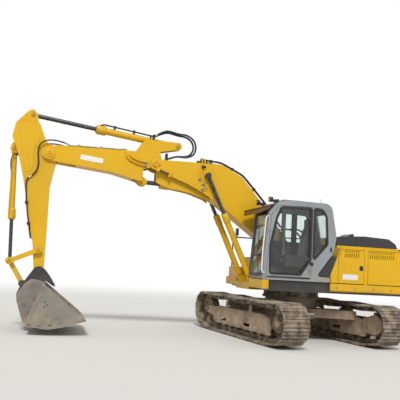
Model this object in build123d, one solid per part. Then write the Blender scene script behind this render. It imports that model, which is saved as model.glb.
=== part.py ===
from build123d import *
from math import atan2, cos, degrees, hypot, radians, sin
import os

# Crawler excavator with a two-piece boom, in millimetres.
# The origin is on the ground on the swing axis, +X is the boom's direction,
# +Y is the cab's side and +Z is up.  The undercarriage is turned under the upper body.

# Running clearances
pin_gap = 0.4            # pin in its bore, all round
seat_gap = 0.3           # rolling faces that meet
side_gap = 6.0           # beside a plate that swings past another

# Undercarriage, in its own direction: +X is the idlers' end
track_heading = -81.4    # degrees from the boom's direction to the idlers' end
track_gauge = 2390
shoe_width = 600
tumbler_distance = 3700
tumbler_height = 490
wrap_radius = 430        # tumbler axis to the grousers' tips
ground_run = 2800        # flat length of track on the ground
top_run_height = 920
top_run_sag = 28
shoe_count = 50
grouser_height = 26
plate_underside = 40     # grousers' tips to the shoe plates' undersides
pitch_depth = 95         # grousers' tips to the link pins
rail_depth = 145         # grousers' tips to the rails' rolling faces
rail_inner = 40
rail_outer = 86
roller_radius = 75
roller_count = 8
roller_span = 2500
carrier_radius = 55
carrier_places = (-560, 640)
frame_half_width = 160
frame_plate = 25
car_body_bottom = 470
car_body_top = 930
car_plate = 28
slew_ring_radius = 640
slew_ring_bottom = 965
tow_eye_radius = 35
tow_eye_plate = 45
tow_eye_out = 860        # swing axis to the tow eyes' bores
tow_eye_half_width = 95
car_body_end = 760       # swing axis to the centre box's front and rear


# Upper body
deck_bottom = 1090
deck_top = 1330
body_half_width = 1345
panel_thickness = 25
panel_top = 2120
skirt_bottom = 1150
skirt_depth = 58
deck_front = 1225
deck_rear = -2250
floor_plate = 41
centre_half_width = 480  # main frame between the side decks
nose_length = 148
nose_top = 1340
engine_seat = 1345
counterweight_rear = -2900
counterweight_corner = -2430
counterweight_top = 2180
lifting_thread_radius = 16   # minor radius of an M36 lifting eye's thread
lifting_thread_length = 70   # through the counterweight's top wall
centre_wall = -520       # front face of the housing behind the boom's foot
door_front = -530        # front edge of the front door's opening
post_front = -1163
post_rear = -1250
right_door_front = -1120
hood_front = -640        # front edge of the opening under the hood
door_gap = 8
boom_bracket_inner = 256
boom_bracket_plate = 40

# Cab
cab_inner_side = 415
cab_wall = 45
cab_bottom = 1345
cab_door_rear = 105
cab_roof = 3078
cab_door_gap = 8
glass_thickness = 6

# Pivots, as x and z
boom_foot = (150, 1900)
boom_cylinder_foot = (1150, 1330)
boom_cylinder_eye = (2256, 3609)
fold_pivot = (3460, 3807)
fold_cylinder_foot = (2299, 3324)
fold_cylinder_eye = (3700, 3370)
arm_pivot = (5804, 3788)
arm_cylinder_foot = (2956, 4248)
arm_cylinder_eye = (6203, 4639)
bucket_cylinder_foot = (6538, 3853)
idler_link_pivot = (5865, 1701)
rod_link_pivot = (6438, 1443)
hitch_link_pivot = (6148, 980)
bucket_pivot = (5811, 1247)
upper_bucket_pin = (5918, 994)
lower_bucket_pin = (6074, 565)

# Hinges of doors and hood
hinge_pin = 5
hinge_radius = 9
knuckle_length = 30
hinge_gap = 0.3
door_hinge_out = 10      # axis outside the panel's face
hood_hinge = (-606, 2316)
hood_hinge_places = (-350, 400)
door_hinge_heights = (1480, 1800)

# Attachment widths, as half widths from the boom's middle plane
boom_half_width = 245
boom_plate = 20
front_boom_half_width = 215
front_boom_plate = 34
arm_half_width = 165
arm_plate = 24
arm_end_half_width = 150
hitch_plate_inner = 158
hitch_plate = 40
idler_link_inner = 206
idler_link_plate = 38
connecting_link_inner = 92
connecting_link_plate = 46
boom_cylinder_offset = 332
main_pin_radius = 45
small_pin_radius = 36

# Bucket
bucket_width = 1900
bucket_plate = 25
bucket_ear = 36
fold_web_inner = 114
fold_web = 26
arm_relief = 5
boom_line_radius = 18


def side_face(table):
    """Closed outline on the plane y = 0 from rows of x, z and corner radius."""
    points = [(x, 0, z) for x, z, radius in table]
    radii = [radius for x, z, radius in table]
    return make_face(FilletPolyline(*points, radius=radii, close=True))


def plan_face(table):
    """Closed outline on the plane z = 0 from rows of x, y and corner radius."""
    points = [(x, y, 0) for x, y, radius in table]
    radii = [radius for x, y, radius in table]
    return make_face(FilletPolyline(*points, radius=radii, close=True))


def plate(face, middle, thickness):
    """A side outline made a plate whose middle plane is y = middle."""
    return extrude(Pos(0, middle - thickness / 2, 0) * face, thickness, dir=(0, 1, 0))


def plates(face, inner, thickness):
    """The same plate on both sides, between inner and inner + thickness from the middle."""
    middle = inner + thickness / 2
    return plate(face, middle, thickness) + plate(face, -middle, thickness)


def block(x0, x1, y0, y1, z0, z1):
    return Pos((x0 + x1) / 2, (y0 + y1) / 2, (z0 + z1) / 2) * Box(x1 - x0, y1 - y0, z1 - z0)


def cross_pin(place, radius, width, middle=0):
    """A cylinder across the machine at an x and z place."""
    return Pos(place[0], middle, place[1]) * Rot(90, 0, 0) * Cylinder(radius, width)


def both_sides(place, radius, inner, width):
    middle = inner + width / 2
    return cross_pin(place, radius, width, middle) + cross_pin(place, radius, width, -middle)


def under(shape):
    """Turns what belongs to the undercarriage to its heading."""
    return Rot(0, 0, track_heading) * shape


def save(name, shape):
    export_step(Compound(children=shape.solids()), f"parts/{name}.step")


def hinge_pair(x, y, heights, fixed_leaf, moving_leaves):
    """Three-knuckle hinges on an upright axis: what stays on the frame and what turns with the door."""
    fixed, moving = [], []
    for z in heights:
        axle = Pos(x, y, z) * Cylinder(hinge_pin, 3 * knuckle_length)
        stay = axle
        for end in (-1, 1):
            middle = z + end * knuckle_length
            stay += Pos(x, y, middle) * Cylinder(hinge_radius, knuckle_length - hinge_gap)
            x0, x1, y0, y1 = fixed_leaf
            stay += block(x0, x1, y0, y1, middle - 14, middle + 14)
        turn = Pos(x, y, z) * Cylinder(hinge_radius, knuckle_length - hinge_gap)
        for x0, x1, y0, y1 in moving_leaves:
            turn += block(x0, x1, y0, y1, z - 14, z + 14)
        turn -= Pos(x, y, z) * Cylinder(hinge_pin + hinge_gap, 2 * knuckle_length)
        fixed.append(stay)
        moving.append(turn)
    return fixed, moving


def side_hinges(front, side, fixed_in):
    """Hinges of a housing door whose opening's front edge is at x = front."""
    x, y = front - 4, side * (body_half_width + door_hinge_out)
    face = side * body_half_width
    y0, y1 = sorted((y, side * (body_half_width - fixed_in)))
    leaf = (x + 0.5, x + 5.5, y0, y1)
    y0, y1 = sorted((y, face))
    return hinge_pair(x, y, door_hinge_heights, leaf, ((x - 50, x, y0, y1),))


def cab_hinges():
    x, y = 1152, body_half_width + 17
    leaf = (x - 5, x + 5, y - 40, y)
    return hinge_pair(x, y, (1440, 2400), leaf, ((1056, x, y - hinge_radius, y), (1056, 1078, y - 26, y)))


# Undercarriage

def ramp_angle():
    """Slope of the run between the last roller and the tumbler, in radians."""
    reach = (tumbler_distance - ground_run) / 2
    span = hypot(reach, tumbler_height)
    return atan2(tumbler_height, reach) - atan2(wrap_radius, (span**2 - wrap_radius**2) ** 0.5)


def loop_points(depth, arc_steps=16):
    """The track's loop, depth inside the grousers' tips, from the ground run's rear end."""
    slope = ramp_angle()
    flat = ground_run / 2 - depth * (1 - cos(slope)) / sin(slope)
    middle = tumbler_distance / 2
    rear, front = carrier_places
    hang = atan2(top_run_sag, (middle - front) / 2)
    start = slope - radians(90)
    step = (radians(90) + hang - start) / arc_steps
    radius = (wrap_radius - depth) / cos(step / 2)
    angles = [start + step * (number + 0.5) for number in range(arc_steps)]
    arc = [(middle + radius * cos(angle), tumbler_height + radius * sin(angle)) for angle in angles]
    top = top_run_height - depth
    run = []
    for x in ((middle + front) / 2, front, (front + rear) / 2, rear, (rear - middle) / 2):
        if x in carrier_places:
            run.append((x, top))
        elif rear < x < front:
            run.append((x, top - top_run_sag))
        else:
            drop = (middle - abs(x)) * sin(hang)
            run.append((x, tumbler_height + (wrap_radius - depth - drop) / cos(hang)))
    return [(-flat, depth), (flat, depth)] + arc + run + [(-x, z) for x, z in arc[::-1]]


def along(points, count):
    """Even places along a closed loop of points."""
    closed = points + points[:1]
    lengths = [hypot(b[0] - a[0], b[1] - a[1]) for a, b in zip(closed, closed[1:])]
    pitch = sum(lengths) / count
    places = []
    index, used = 0, 0.0
    for number in range(count):
        target = number * pitch
        while used + lengths[index] < target:
            used += lengths[index]
            index += 1
        share = (target - used) / lengths[index]
        a, b = closed[index], closed[index + 1]
        places.append((a[0] + (b[0] - a[0]) * share, a[1] + (b[1] - a[1]) * share))
    return places


def without_straight(points):
    """Drops the points that lie in line with their neighbours."""
    kept = []
    for before, here, after in zip(points[-1:] + points[:-1], points, points[1:] + points[:1]):
        turn = (here[0] - before[0]) * (after[1] - here[1]) - (here[1] - before[1]) * (after[0] - here[0])
        if abs(turn) > 60:
            kept.append(here)
    return kept


# One shoe's outside, as a share of the pitch along it and the depth below the grousers' tips
shoe_outline = (
    (0.0, plate_underside - 2),
    (0.045, 0),
    (0.115, 0),
    (0.175, grouser_height),
    (0.46, grouser_height),
    (0.50, 0),
    (0.55, grouser_height),
    (0.83, grouser_height),
    (0.89, 0),
    (0.955, 0),
)


def track(middle):
    """A loop of triple-grouser shoes on two rows of links."""
    pins = along(loop_points(pitch_depth), shoe_count)
    outside = []
    for here, there in zip(pins, pins[1:] + pins[:1]):
        length = hypot(there[0] - here[0], there[1] - here[1])
        ux, uz = (there[0] - here[0]) / length, (there[1] - here[1]) / length
        for share, depth in shoe_outline:
            out = pitch_depth - depth
            outside.append((here[0] + ux * share * length + uz * out, here[1] + uz * share * length - ux * out))
    underside = without_straight(loop_points(plate_underside + 8, 10))
    belt = plate(closed_face(outside), middle, shoe_width) - plate(closed_face(underside), middle, shoe_width + 2)
    rail = closed_face(without_straight(loop_points(plate_underside + 2, 10)))
    rail -= closed_face(without_straight(loop_points(rail_depth, 16)))
    width = rail_outer - rail_inner
    for side in (-1, 1):
        belt += plate(rail, middle + side * (rail_inner + width / 2), width)
    return belt


def closed_face(points):
    return make_face(Polyline(*[(x, 0, z) for x, z in points], close=True))


def revolved(profile):
    """Turns rows of y and radius about the Y axis."""
    rows = [(0, y) for y, radius in profile[:1]] + [(radius, y) for y, radius in profile]
    rows += [(0, profile[-1][0])]
    outline = make_face(Polyline(*[(x, y, 0) for x, y in rows], close=True))
    return revolve(outline, Axis.Y)


def roller_profile(radius, flange, shaft, reach):
    """Half of a roller's rows of y and radius, mirrored to a whole one."""
    half = ((0, radius - 12), (rail_inner - 4, radius - 12), (rail_inner - 4, radius),
            (rail_outer + 4, radius), (rail_outer + 4, flange), (rail_outer + 20, flange),
            (rail_outer + 20, shaft), (reach, shaft))
    left = [(-y, r) for y, r in half[:0:-1]]
    return left + list(half[1:])


def roller_row(middle):
    reach = frame_half_width - frame_plate - seat_gap
    bottom = rail_depth + roller_radius + seat_gap
    shape = revolved(roller_profile(roller_radius, roller_radius + 14, 34, reach))
    rollers = []
    for number in range(roller_count):
        x = -roller_span / 2 + roller_span * number / (roller_count - 1)
        rollers.append(Pos(x, middle, bottom) * shape)
    top = top_run_height - rail_depth - carrier_radius - seat_gap
    carrier = revolved(roller_profile(carrier_radius, carrier_radius + 10, 28, reach))
    for x in carrier_places:
        rollers.append(Pos(x, middle, top) * carrier)
    return rollers


def idler(middle):
    tread = wrap_radius - rail_depth - seat_gap
    half = ((rail_inner - 6, tread + 34), (rail_inner - 6, tread), (rail_outer, tread),
            (rail_outer, tread - 60), (50, tread - 75), (50, 95), (98, 95), (98, 42), (128, 42))
    profile = [(-y, r) for y, r in half[::-1]] + list(half)
    return Pos(tumbler_distance / 2, middle, tumbler_height) * revolved(profile)


def sprocket(middle, side):
    """Toothed rim, its hub and the round cover of the travel motor on the outside."""
    teeth = 21
    root, tip = wrap_radius - rail_depth - 4, wrap_radius - pitch_depth + 24
    points = []
    for number in range(teeth):
        for share, radius in ((0.0, root), (0.28, root), (0.44, tip), (0.60, tip), (0.76, root)):
            angle = radians(360 * (number + share) / teeth)
            points.append((radius * cos(angle), radius * sin(angle)))
    rim = plate(closed_face(points), 0, 2 * (rail_inner - 8))
    inner = -side * (frame_half_width - 6 - 20)
    outer = side * 205
    hub = Pos(0, (inner + outer) / 2, 0) * Rot(90, 0, 0) * Cylinder(185, abs(outer - inner))
    cover = Pos(0, outer + side * 20, 0) * Rot(90, 0, 0) * Cylinder(140, 40)
    return Pos(-tumbler_distance / 2, middle, tumbler_height) * (rim + hub + cover)


track_frame_outline = (
    (-1480, 205, 30), (-1480, 520, 60), (-1180, 610, 80), (1150, 600, 80),
    (1420, 530, 60), (1420, 350, 30), (1330, 205, 30),
)
track_frame_slots = ((-400, 330, 330, 110), (800, 330, 330, 110))


def track_frame(middle, side):
    """Closed beam over the rollers with a side plate each side, idler yoke and motor bracket."""
    outline = side_face(track_frame_outline)
    for x, z, length, height in track_frame_slots:
        slot = make_face(SlotOverall(length, height).edges())
        outline -= Pos(x, 0, z) * Rot(90, 0, 0) * slot
    sides = plates(outline, frame_half_width - frame_plate, frame_plate)
    for x in carrier_places:
        top = top_run_height - rail_depth - carrier_radius + 45
        post = side_face(((x - 75, 570, 0), (x - 45, top, 25), (x + 45, top, 25), (x + 75, 570, 0)))
        sides += plates(post, frame_half_width - frame_plate, frame_plate)
    beam = block(-1440, 1380, -frame_half_width + 2, frame_half_width - 2, 345, 560)
    beam -= block(-1415, 1280, -frame_half_width + 22, frame_half_width - 22, 365, 540)
    frame = sides + beam
    far, high = tumbler_distance / 2, tumbler_height
    for place in (-1, 1):
        y = place * (frame_half_width - frame_plate - 15)
        yoke = side_face(((1300, 350, 20), (1300, high + 85, 20), (far + 120, high + 85, 60), (far + 120, high - 85, 60)))
        frame += plate(yoke, y, 30)
    frame -= Pos(far, 0, high) * Rot(90, 0, 0) * Cylinder(42 + pin_gap, 400)
    motor = side_face(((-1420, 300, 20), (-1420, 600, 40), (-far + 30, high + 230, 150), (-far - 210, high + 100, 120),
                       (-far - 210, high - 110, 120), (-far + 30, high - 220, 120)))
    frame += plate(motor, -side * (frame_half_width - 6), 40)
    return Pos(0, middle, 0) * frame


def car_body():
    """Centre box with four legs to the track frames, the seat of the slew ring and the tow eyes."""
    leg_end = track_gauge / 2 - frame_half_width
    half = ((car_body_end, 380), (1150, leg_end), (640, leg_end), (330, 620), (-330, 620), (-640, leg_end),
            (-1150, leg_end), (-car_body_end, 380))
    rows = list(half) + [(x, -y) for x, y in half[::-1]]
    legs = plan_face([(x, y, 0) for x, y in rows])
    low, high = car_body_bottom + 60, car_body_bottom + 250
    body = extrude(Pos(0, 0, low) * legs, high - low)
    body += Pos(0, 0, (car_body_bottom + car_body_top) / 2) * Cylinder(600, car_body_top - car_body_bottom)
    ring_top = slew_ring_bottom - seat_gap
    body += Pos(0, 0, (car_body_top + ring_top) / 2) * Cylinder(slew_ring_radius + 30, ring_top - car_body_top)
    hollow = extrude(Pos(0, 0, low + car_plate) * offset(legs, -car_plate), high - low - 2 * car_plate)
    height = car_body_top - car_body_bottom - 2 * car_plate
    hollow += Pos(0, 0, (car_body_bottom + car_body_top) / 2) * Cylinder(600 - car_plate, height)
    body -= hollow
    middle = (low + high) / 2
    for end in (-1, 1):
        x0, x1 = sorted((end * (car_body_end - car_plate / 2), end * tow_eye_out))
        eye = block(x0, x1, -tow_eye_half_width, tow_eye_half_width, middle - tow_eye_plate / 2,
                    middle + tow_eye_plate / 2)
        eye += Pos(end * tow_eye_out, 0, middle) * Cylinder(tow_eye_half_width, tow_eye_plate)
        body += eye - Pos(end * tow_eye_out, 0, middle) * Cylinder(tow_eye_radius, 2 * tow_eye_plate)
    return body


# Upper body

bracket_outline = (
    (deck_rear, deck_bottom, 0), (deck_rear, engine_seat, 0), (-860, engine_seat, 200), (-90, 2040, 130),
    (330, 2040, 130), (640, 1500, 200), (1080, 1385, 60), (1180, 1410, 50), (deck_front - 8, 1340, 50),
    (deck_front - 8, deck_bottom, 0),
)
cylinder_ear_outline = (
    (1075, deck_bottom + floor_plate, 0), (1075, 1380, 60), (1180, 1410, 50), (deck_front - 8, 1340, 50),
    (deck_front - 8, deck_bottom + floor_plate, 0),
)


def deck_frame():
    """Main frame: floor plate, two long boom brackets, the nose and its cylinder ears."""
    half = centre_half_width
    floor_top = deck_bottom + floor_plate
    frame = block(deck_rear, deck_front, -half, half, deck_bottom, floor_top)
    brackets = plates(side_face(bracket_outline), boom_bracket_inner, boom_bracket_plate)
    frame += brackets - cross_pin(boom_foot, main_pin_radius, 2 * half)
    frame += block(deck_front - nose_length, deck_front, -half, half, floor_top, floor_top + 109)
    for side in (-1, 1):
        frame += plate(side_face(cylinder_ear_outline), side * (boom_cylinder_offset + 52), 30)
    frame += cross_pin(boom_foot, main_pin_radius, 2 * (boom_bracket_inner + boom_bracket_plate + 18))
    frame += both_sides(boom_foot, 80, boom_bracket_inner + boom_bracket_plate, 14)
    frame += both_sides(boom_cylinder_foot, small_pin_radius, boom_bracket_inner, 150)
    return frame


def side_decks():
    """Dark floor frames under the cab and the compartments on both sides, with the cab's mounts."""
    inner, outer = centre_half_width + seat_gap, body_half_width - skirt_depth - 2
    front = deck_front - nose_length - seat_gap
    decks = block(deck_rear, front, inner, outer, deck_bottom + 20, deck_top)
    decks += block(deck_rear, front, -outer, -inner, deck_bottom + 20, deck_top)
    height = cab_bottom - deck_top
    for x in (-250, 980):
        for y in (cab_inner_side + 150, body_half_width - 130):
            decks += Pos(x, y, deck_top + height / 2) * Cylinder(65, height)
    return decks


def skirts():
    """Rounded skirt pieces outside the decks, and the nose corners."""
    inner = body_half_width - skirt_depth
    profile = make_face(FilletPolyline(
        (0, inner, skirt_bottom), (0, body_half_width, skirt_bottom), (0, body_half_width, deck_top),
        (0, inner, deck_top), radius=(0, 40, 0, 0), close=True))
    front = deck_front - nose_length
    left = extrude(Pos(deck_rear, 0, 0) * profile, housing_foot[0] - deck_rear, dir=(1, 0, 0))
    right = extrude(Pos(deck_rear, 0, 0) * mirror(profile, Plane.XZ), front - deck_rear, dir=(1, 0, 0))
    corner = plan_face(((front, centre_half_width + seat_gap, 0), (deck_front, centre_half_width + seat_gap, 0),
                        (deck_front, body_half_width, 45), (front, body_half_width, 0)))
    corner = Pos(0, 0, skirt_bottom) * corner
    right_corner = extrude(mirror(corner, Plane.XZ), deck_top - skirt_bottom, dir=(0, 0, 1))
    return left + right + right_corner + extrude(corner, nose_top - skirt_bottom, dir=(0, 0, 1))


def slew_ring():
    height = deck_bottom - slew_ring_bottom
    ring = Pos(0, 0, slew_ring_bottom + height / 2) * Cylinder(slew_ring_radius, height)
    return ring - Pos(0, 0, slew_ring_bottom + height / 2) * Cylinder(slew_ring_radius - 110, height + 2)


def counterweight():
    """Cast block whose back follows the tail's swing circle, with two threads for lifting eyes."""
    edge = body_half_width
    outline = make_face(Wire([
        Line((deck_rear, -edge), (deck_rear, edge)),
        Line((deck_rear, edge), (counterweight_corner, edge)),
        ThreePointArc((counterweight_corner, edge), (counterweight_rear, 0), (counterweight_corner, -edge)),
        Line((counterweight_corner, -edge), (deck_rear, -edge)),
    ]))
    weight = extrude(Pos(0, 0, skirt_bottom) * outline, counterweight_top - skirt_bottom)
    top = weight.faces().sort_by(Axis.Z)[-1]
    weight = fillet(top.edges().sort_by(Axis.X)[:-1], 90)
    half = edge - 395
    roof = counterweight_top - lifting_thread_length
    weight -= block(deck_rear - 380, deck_rear - 120, -half, half, skirt_bottom + 135, roof)
    for y in lifting_places:
        middle = counterweight_top - lifting_thread_length / 2
        weight -= Pos(lifting_x, y, middle) * Cylinder(lifting_thread_radius, lifting_thread_length + 2)
    return weight


# Front of the housing behind the cab, seen from the side
housing_foot = (-357, engine_seat)
housing_bend = (-352, 1527)
housing_shoulder = (-550, 1996)
housing_top_front = -612
door_chamfer = ((door_front, 1908), (-616, panel_top - panel_thickness))
lifting_x = deck_rear - 250
lifting_places = (-600, 600)


def housing_corner():
    """The sloping panel between the cab and the front door, rounded on to the housing's side."""
    edge, inboard = body_half_width, centre_half_width
    form = side_face((
        (hood_front, engine_seat, 0), housing_foot + (0,), housing_bend + (0,), housing_shoulder + (0,),
        (housing_top_front, panel_top, 0), (hood_front, panel_top, 0)))
    panel = plate(form, (edge + inboard) / 2, edge - inboard)
    outer = [e for e in panel.edges() if e.center().Y > edge - 1 and e.center().X > housing_top_front + 1
             and e.center().Z > engine_seat + 1]
    panel = fillet(outer, 50)
    wall = panel_thickness
    x1, z1 = housing_bend
    x2, z2 = housing_shoulder
    inside = side_face((
        (hood_front - 10, engine_seat - 40, 0), (x1 - wall - 5, engine_seat - 40, 0), (x1 - wall, z1 - 6, 0),
        (x2 - wall, z2 - 10, 0), (housing_top_front - wall, panel_top - wall, 0), (hood_front - 10, panel_top - wall, 0)))
    panel -= plate(inside, (edge + inboard) / 2, edge - inboard - 2 * wall)
    (x3, z3), (x4, z4) = door_chamfer
    opening = side_face((
        (hood_front - 10, engine_seat - 40, 0), (x3, engine_seat - 40, 0), (x3, z3, 0), (x4, z4, 0),
        (hood_front - 10, z4, 0)))
    return panel - plate(opening, edge, 2 * wall + 2)


def side_panels():
    """Fixed housing: corner panel, posts, the top with the hood's opening and centre cover."""
    edge, inboard = body_half_width, centre_half_width
    low, high = panel_top - panel_thickness, panel_top
    top = block(deck_rear, hood_front, -inboard, edge, low, high)
    top += block(hood_front, centre_wall, -inboard, inboard, low, high)
    top += block(deck_rear, right_door_front + 25, -edge, -inboard, low, high)
    opening = block(deck_rear + 110, hood_front, -880, 1060, high - 60, high + 80)
    back = centre_wall - 25
    between = boom_bracket_inner - side_gap
    wall = block(back, centre_wall, -between, between, engine_seat, low)
    beside = boom_bracket_inner + boom_bracket_plate + side_gap
    wall += block(back, centre_wall, beside, inboard, deck_top, low)
    wall += block(back, centre_wall, -inboard, -beside, deck_top, low)
    post = block(post_rear, post_front, edge - 80, edge, deck_top, low)
    rim = block(deck_rear + 85, right_door_front + 25, -905, 1085, high, high + 60)
    rim += block(right_door_front + 25, hood_front + 25, -inboard, 1085, high, high + 60)
    centre = block(centre_wall - 20, centre_wall + 260, -240, 240, engine_seat + 75, high - 60)
    right_wall = block(right_door_front, right_door_front + 25, -edge + 1, -inboard, deck_top, low)
    rear_posts = block(deck_rear, deck_rear + 45, -edge, -edge + 45, deck_top, low)
    rear_posts += block(deck_rear, deck_rear + 45, edge - 45, edge, deck_top, low)
    panels = top - opening + wall + post + housing_corner() + (rim - opening) + centre + right_wall + rear_posts
    for front, side, fixed_in in ((door_front, 1, 20), (post_rear, 1, 40), (right_door_front, -1, 10)):
        for hinge in side_hinges(front, side, fixed_in)[0]:
            panels += hinge
    x, z = hood_hinge
    for y in hood_hinge_places:
        for end in (-1, 1):
            stay = block(x - 12, x + 12, y + end * 40 - 8, y + end * 40 + 8, panel_top, z)
            panels += stay + cross_pin(hood_hinge, 12, 16, y + end * 40)
        panels += cross_pin(hood_hinge, hinge_pin + 2, 80, y)
    return panels


door_edge = ((door_front - door_gap, 1910), (-625, panel_top - panel_thickness - door_gap))

# Louvres: slot height and the distance of its middle below the housing's top
louvre_rows = ((52, 38), (90, 128))
louvre_pitch = 52
louvre_width = 20


def housing_door(front, rear, side, slots_from, slots_to, chamfer=()):
    """A side door with slanted louvre slots at its top, hung at its front edge."""
    edge = side * body_half_width
    low, high = deck_top + 16, panel_top - panel_thickness - door_gap
    corners = [(rear + door_gap, low, 15), (front - door_gap, low, 15)]
    corners += [(x, z, 40) for x, z in chamfer] or [(front - door_gap, high, 15)]
    door = plate(side_face(corners + [(rear + door_gap, high, 15)]), edge - side * panel_thickness / 2, panel_thickness)
    slots = []
    for height, below in louvre_rows:
        for number in range(int((slots_from - slots_to) // louvre_pitch) + 1):
            x = slots_from - louvre_pitch * number
            slot = Box(louvre_width, 3 * panel_thickness, height)
            slots.append(Pos(x, edge, high - below) * Rot(0, -14, 0) * slot)
    door -= slots
    for hinge in side_hinges(front, side, 10)[1]:
        door += hinge
    return door


def hood():
    """Raised engine cover with sloping ends and a low hump."""
    low, front, rear = panel_top + 66, hood_front + 20, deck_rear + 90
    side = side_face(((rear, low, 0), (rear + 55, 2290, 80), (rear + 235, 2398, 100), (-1300, 2425, 400),
                      (front, 2378, 50), (front, low, 0)))
    shell = plate(side, 90, 1940)
    inside = side_face(((rear + 25, low - 10, 0), (rear + 77, 2280, 60), (rear + 243, 2373, 90), (-1300, 2400, 380),
                        (front - 25, 2354, 30), (front - 25, low - 10, 0)))
    shell -= plate(inside, 90, 1890)
    hump = side_face(((-1075, 2380, 0), (-1070, 2468, 20), (-1000, 2460, 20), (-880, 2380, 0)))
    shell += plate(hump, 790, 420)
    x, z = hood_hinge
    for y in hood_hinge_places:
        shell += block(front - 5, x, y - 30, y + 30, z - 8, z + 8) + cross_pin(hood_hinge, 13, 60, y)
        shell -= cross_pin(hood_hinge, hinge_pin + 2 + hinge_gap, 62, y)
    return shell


def exhaust():
    x, y = deck_rear + 350, -body_half_width + 225
    pipe = Pos(x, y, panel_top + 190) * Cylinder(60, 380)
    return pipe - Pos(x, y, panel_top + 300) * Cylinder(54, 400)


# Cab

cab_outline = (
    (1205, cab_bottom, 30), (1215, 1500, 60), (1125, 2780, 90), (905, 3045, 160), (430, cab_roof, 700),
    (-330, 3066, 190), (-480, 2310, 150), (-392, 1965, 60), (-23, 1465, 40), (-330, 1450, 10),
    (-330, cab_bottom, 10),
)
door_window = (
    (1050, 1490, 50), (1062, 2080, 400), (935, 2680, 250), (840, 2905, 70), (150, 2922, 30), (150, 1800, 30),
    (362, 1492, 30),
)
quarter_window = (
    (62, 2928, 30), (-120, 2912, 90), (-212, 2770, 60), (-250, 2170, 50), (62, 1820, 30),
)
right_window = (
    (1050, 1750, 40), (1000, 2700, 80), (860, 2860, 60), (450, 2880, 20), (450, 1750, 40),
)
right_rear_window = (
    (380, 1900, 20), (380, 2880, 20), (-120, 2860, 80), (-300, 2700, 60), (-320, 1900, 40),
)
pane_gap = 0.5


def windscreen_box(gap=0):
    """The windscreen's opening, or its pane's limits with a gap all round."""
    return block(1000, 1300, cab_inner_side + 70 + gap, body_half_width - 120 - gap, 1440 + gap, 2775 - gap)


def rear_window_box(gap=0):
    return block(-560, -250, cab_inner_side + 130 + gap, body_half_width - 130 - gap, 2200 + gap, 2850 - gap)


def cab_solid(inset=0):
    """The cab's outer form, or the hollow inside when inset by the wall."""
    face = side_face(cab_outline)
    inner, outer = cab_inner_side, body_half_width
    if inset:
        face = offset(face, -inset, kind=Kind.INTERSECTION)
    side = plate(face, (inner + outer) / 2, outer - inner - 2 * inset)
    corner = 130 - inset
    plan = plan_face(((1230 - inset, inner + inset, 60), (1230 - inset, outer - inset, corner),
                      (-490 + inset, outer - inset, 60), (-490 + inset, inner + inset, 60)))
    return side & extrude(Pos(0, 0, 1200) * plan, 2000)


def door_outline():
    return side_face(((1150, 1390, 60), (1075, 2740, 130), (900, 2950, 120),
                      (cab_door_rear, 2970, 30), (cab_door_rear, 1390, 40)))


def outer_side(face, depth):
    """What an outline cuts out of the cab's outer side wall."""
    return plate(face, body_half_width, 2 * depth)


def cab_shell():
    shell = cab_solid() - cab_solid(cab_wall)
    shell -= outer_side(door_outline(), cab_wall + 30)
    shell -= outer_side(side_face(quarter_window), cab_wall + 30)
    shell -= windscreen_box()
    shell -= rear_window_box()
    for window in (right_window, right_rear_window):
        shell -= plate(side_face(window), cab_inner_side, 2 * cab_wall + 40)
    middle = (cab_inner_side + body_half_width) / 2
    shell += block(290, 720, middle - 240, middle + 240, cab_roof - cab_wall, cab_roof + 30)
    for hinge in cab_hinges()[0]:
        shell += hinge
    return shell


def cab_windows():
    """Fixed panes: windscreen, rear, right side and the rear quarter light."""
    skin = cab_solid(20) - cab_solid(20 + glass_thickness)
    panes = [skin & windscreen_box(pane_gap), skin & rear_window_box(pane_gap)]
    panes.append(skin & outer_side(offset(side_face(quarter_window), -pane_gap), cab_wall))
    for window in (right_window, right_rear_window):
        panes.append(plate(offset(side_face(window), -pane_gap), cab_inner_side + 22, glass_thickness))
    return panes


def cab_door():
    outline = offset(door_outline(), -cab_door_gap, kind=Kind.INTERSECTION)
    door = (cab_solid() - cab_solid(cab_wall)) & outer_side(outline, cab_wall + 20)
    door -= outer_side(side_face(door_window), cab_wall + 40)
    handle = block(cab_door_rear + 25, cab_door_rear + 55, body_half_width, body_half_width + 28, 1530, 1665)
    for hinge in cab_hinges()[1]:
        door += hinge
    return door + handle


def door_glass():
    skin = cab_solid(20) - cab_solid(20 + glass_thickness)
    return skin & outer_side(offset(side_face(door_window), -pane_gap), cab_wall)


def cab_visor():
    """Sun visor over the windscreen."""
    face = side_face(((960, 2945, 0), (1060, 2925, 0), (1398, 2822, 8), (1406, 2852, 8), (1050, 2960, 0),
                      (940, 2990, 0)))
    y0, y1 = cab_inner_side + 20, body_half_width - 60
    visor = plate(face, (y0 + y1) / 2, y1 - y0)
    return visor - cab_solid()


def operator_seat():
    middle = (cab_inner_side + body_half_width) / 2
    floor = cab_bottom + cab_wall
    right, left = cab_inner_side + cab_wall + 20, body_half_width - cab_wall - 40
    base = block(100, 520, middle - 190, middle + 190, floor, 1700)
    cushion = fillet(block(80, 600, middle - 250, middle + 250, 1700, 1830).edges(), 40)
    back = fillet((Pos(60, middle, 2180) * Rot(0, -10, 0) * Box(130, 480, 740)).edges(), 40)
    head = fillet((Pos(0, middle, 2620) * Rot(0, -10, 0) * Box(100, 280, 160)).edges(), 35)
    boxes = block(150, 700, right, right + 130, 1650, 1900)
    boxes += block(150, 700, left - 110, left, 1650, 1900)
    arms = block(150, 300, right, left, floor + 150, 1690)
    return base + cushion + back + head + boxes + arms


def controls():
    """Travel levers and the monitor post in front of the seat."""
    middle = (cab_inner_side + body_half_width) / 2
    floor = cab_bottom + cab_wall
    shape = block(860, 920, middle - 120, middle - 60, floor, floor + 560)
    shape += block(860, 920, middle + 60, middle + 120, floor, floor + 560)
    shape += block(840, 1000, middle - 140, middle + 140, floor, floor + 60)
    return shape


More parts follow.
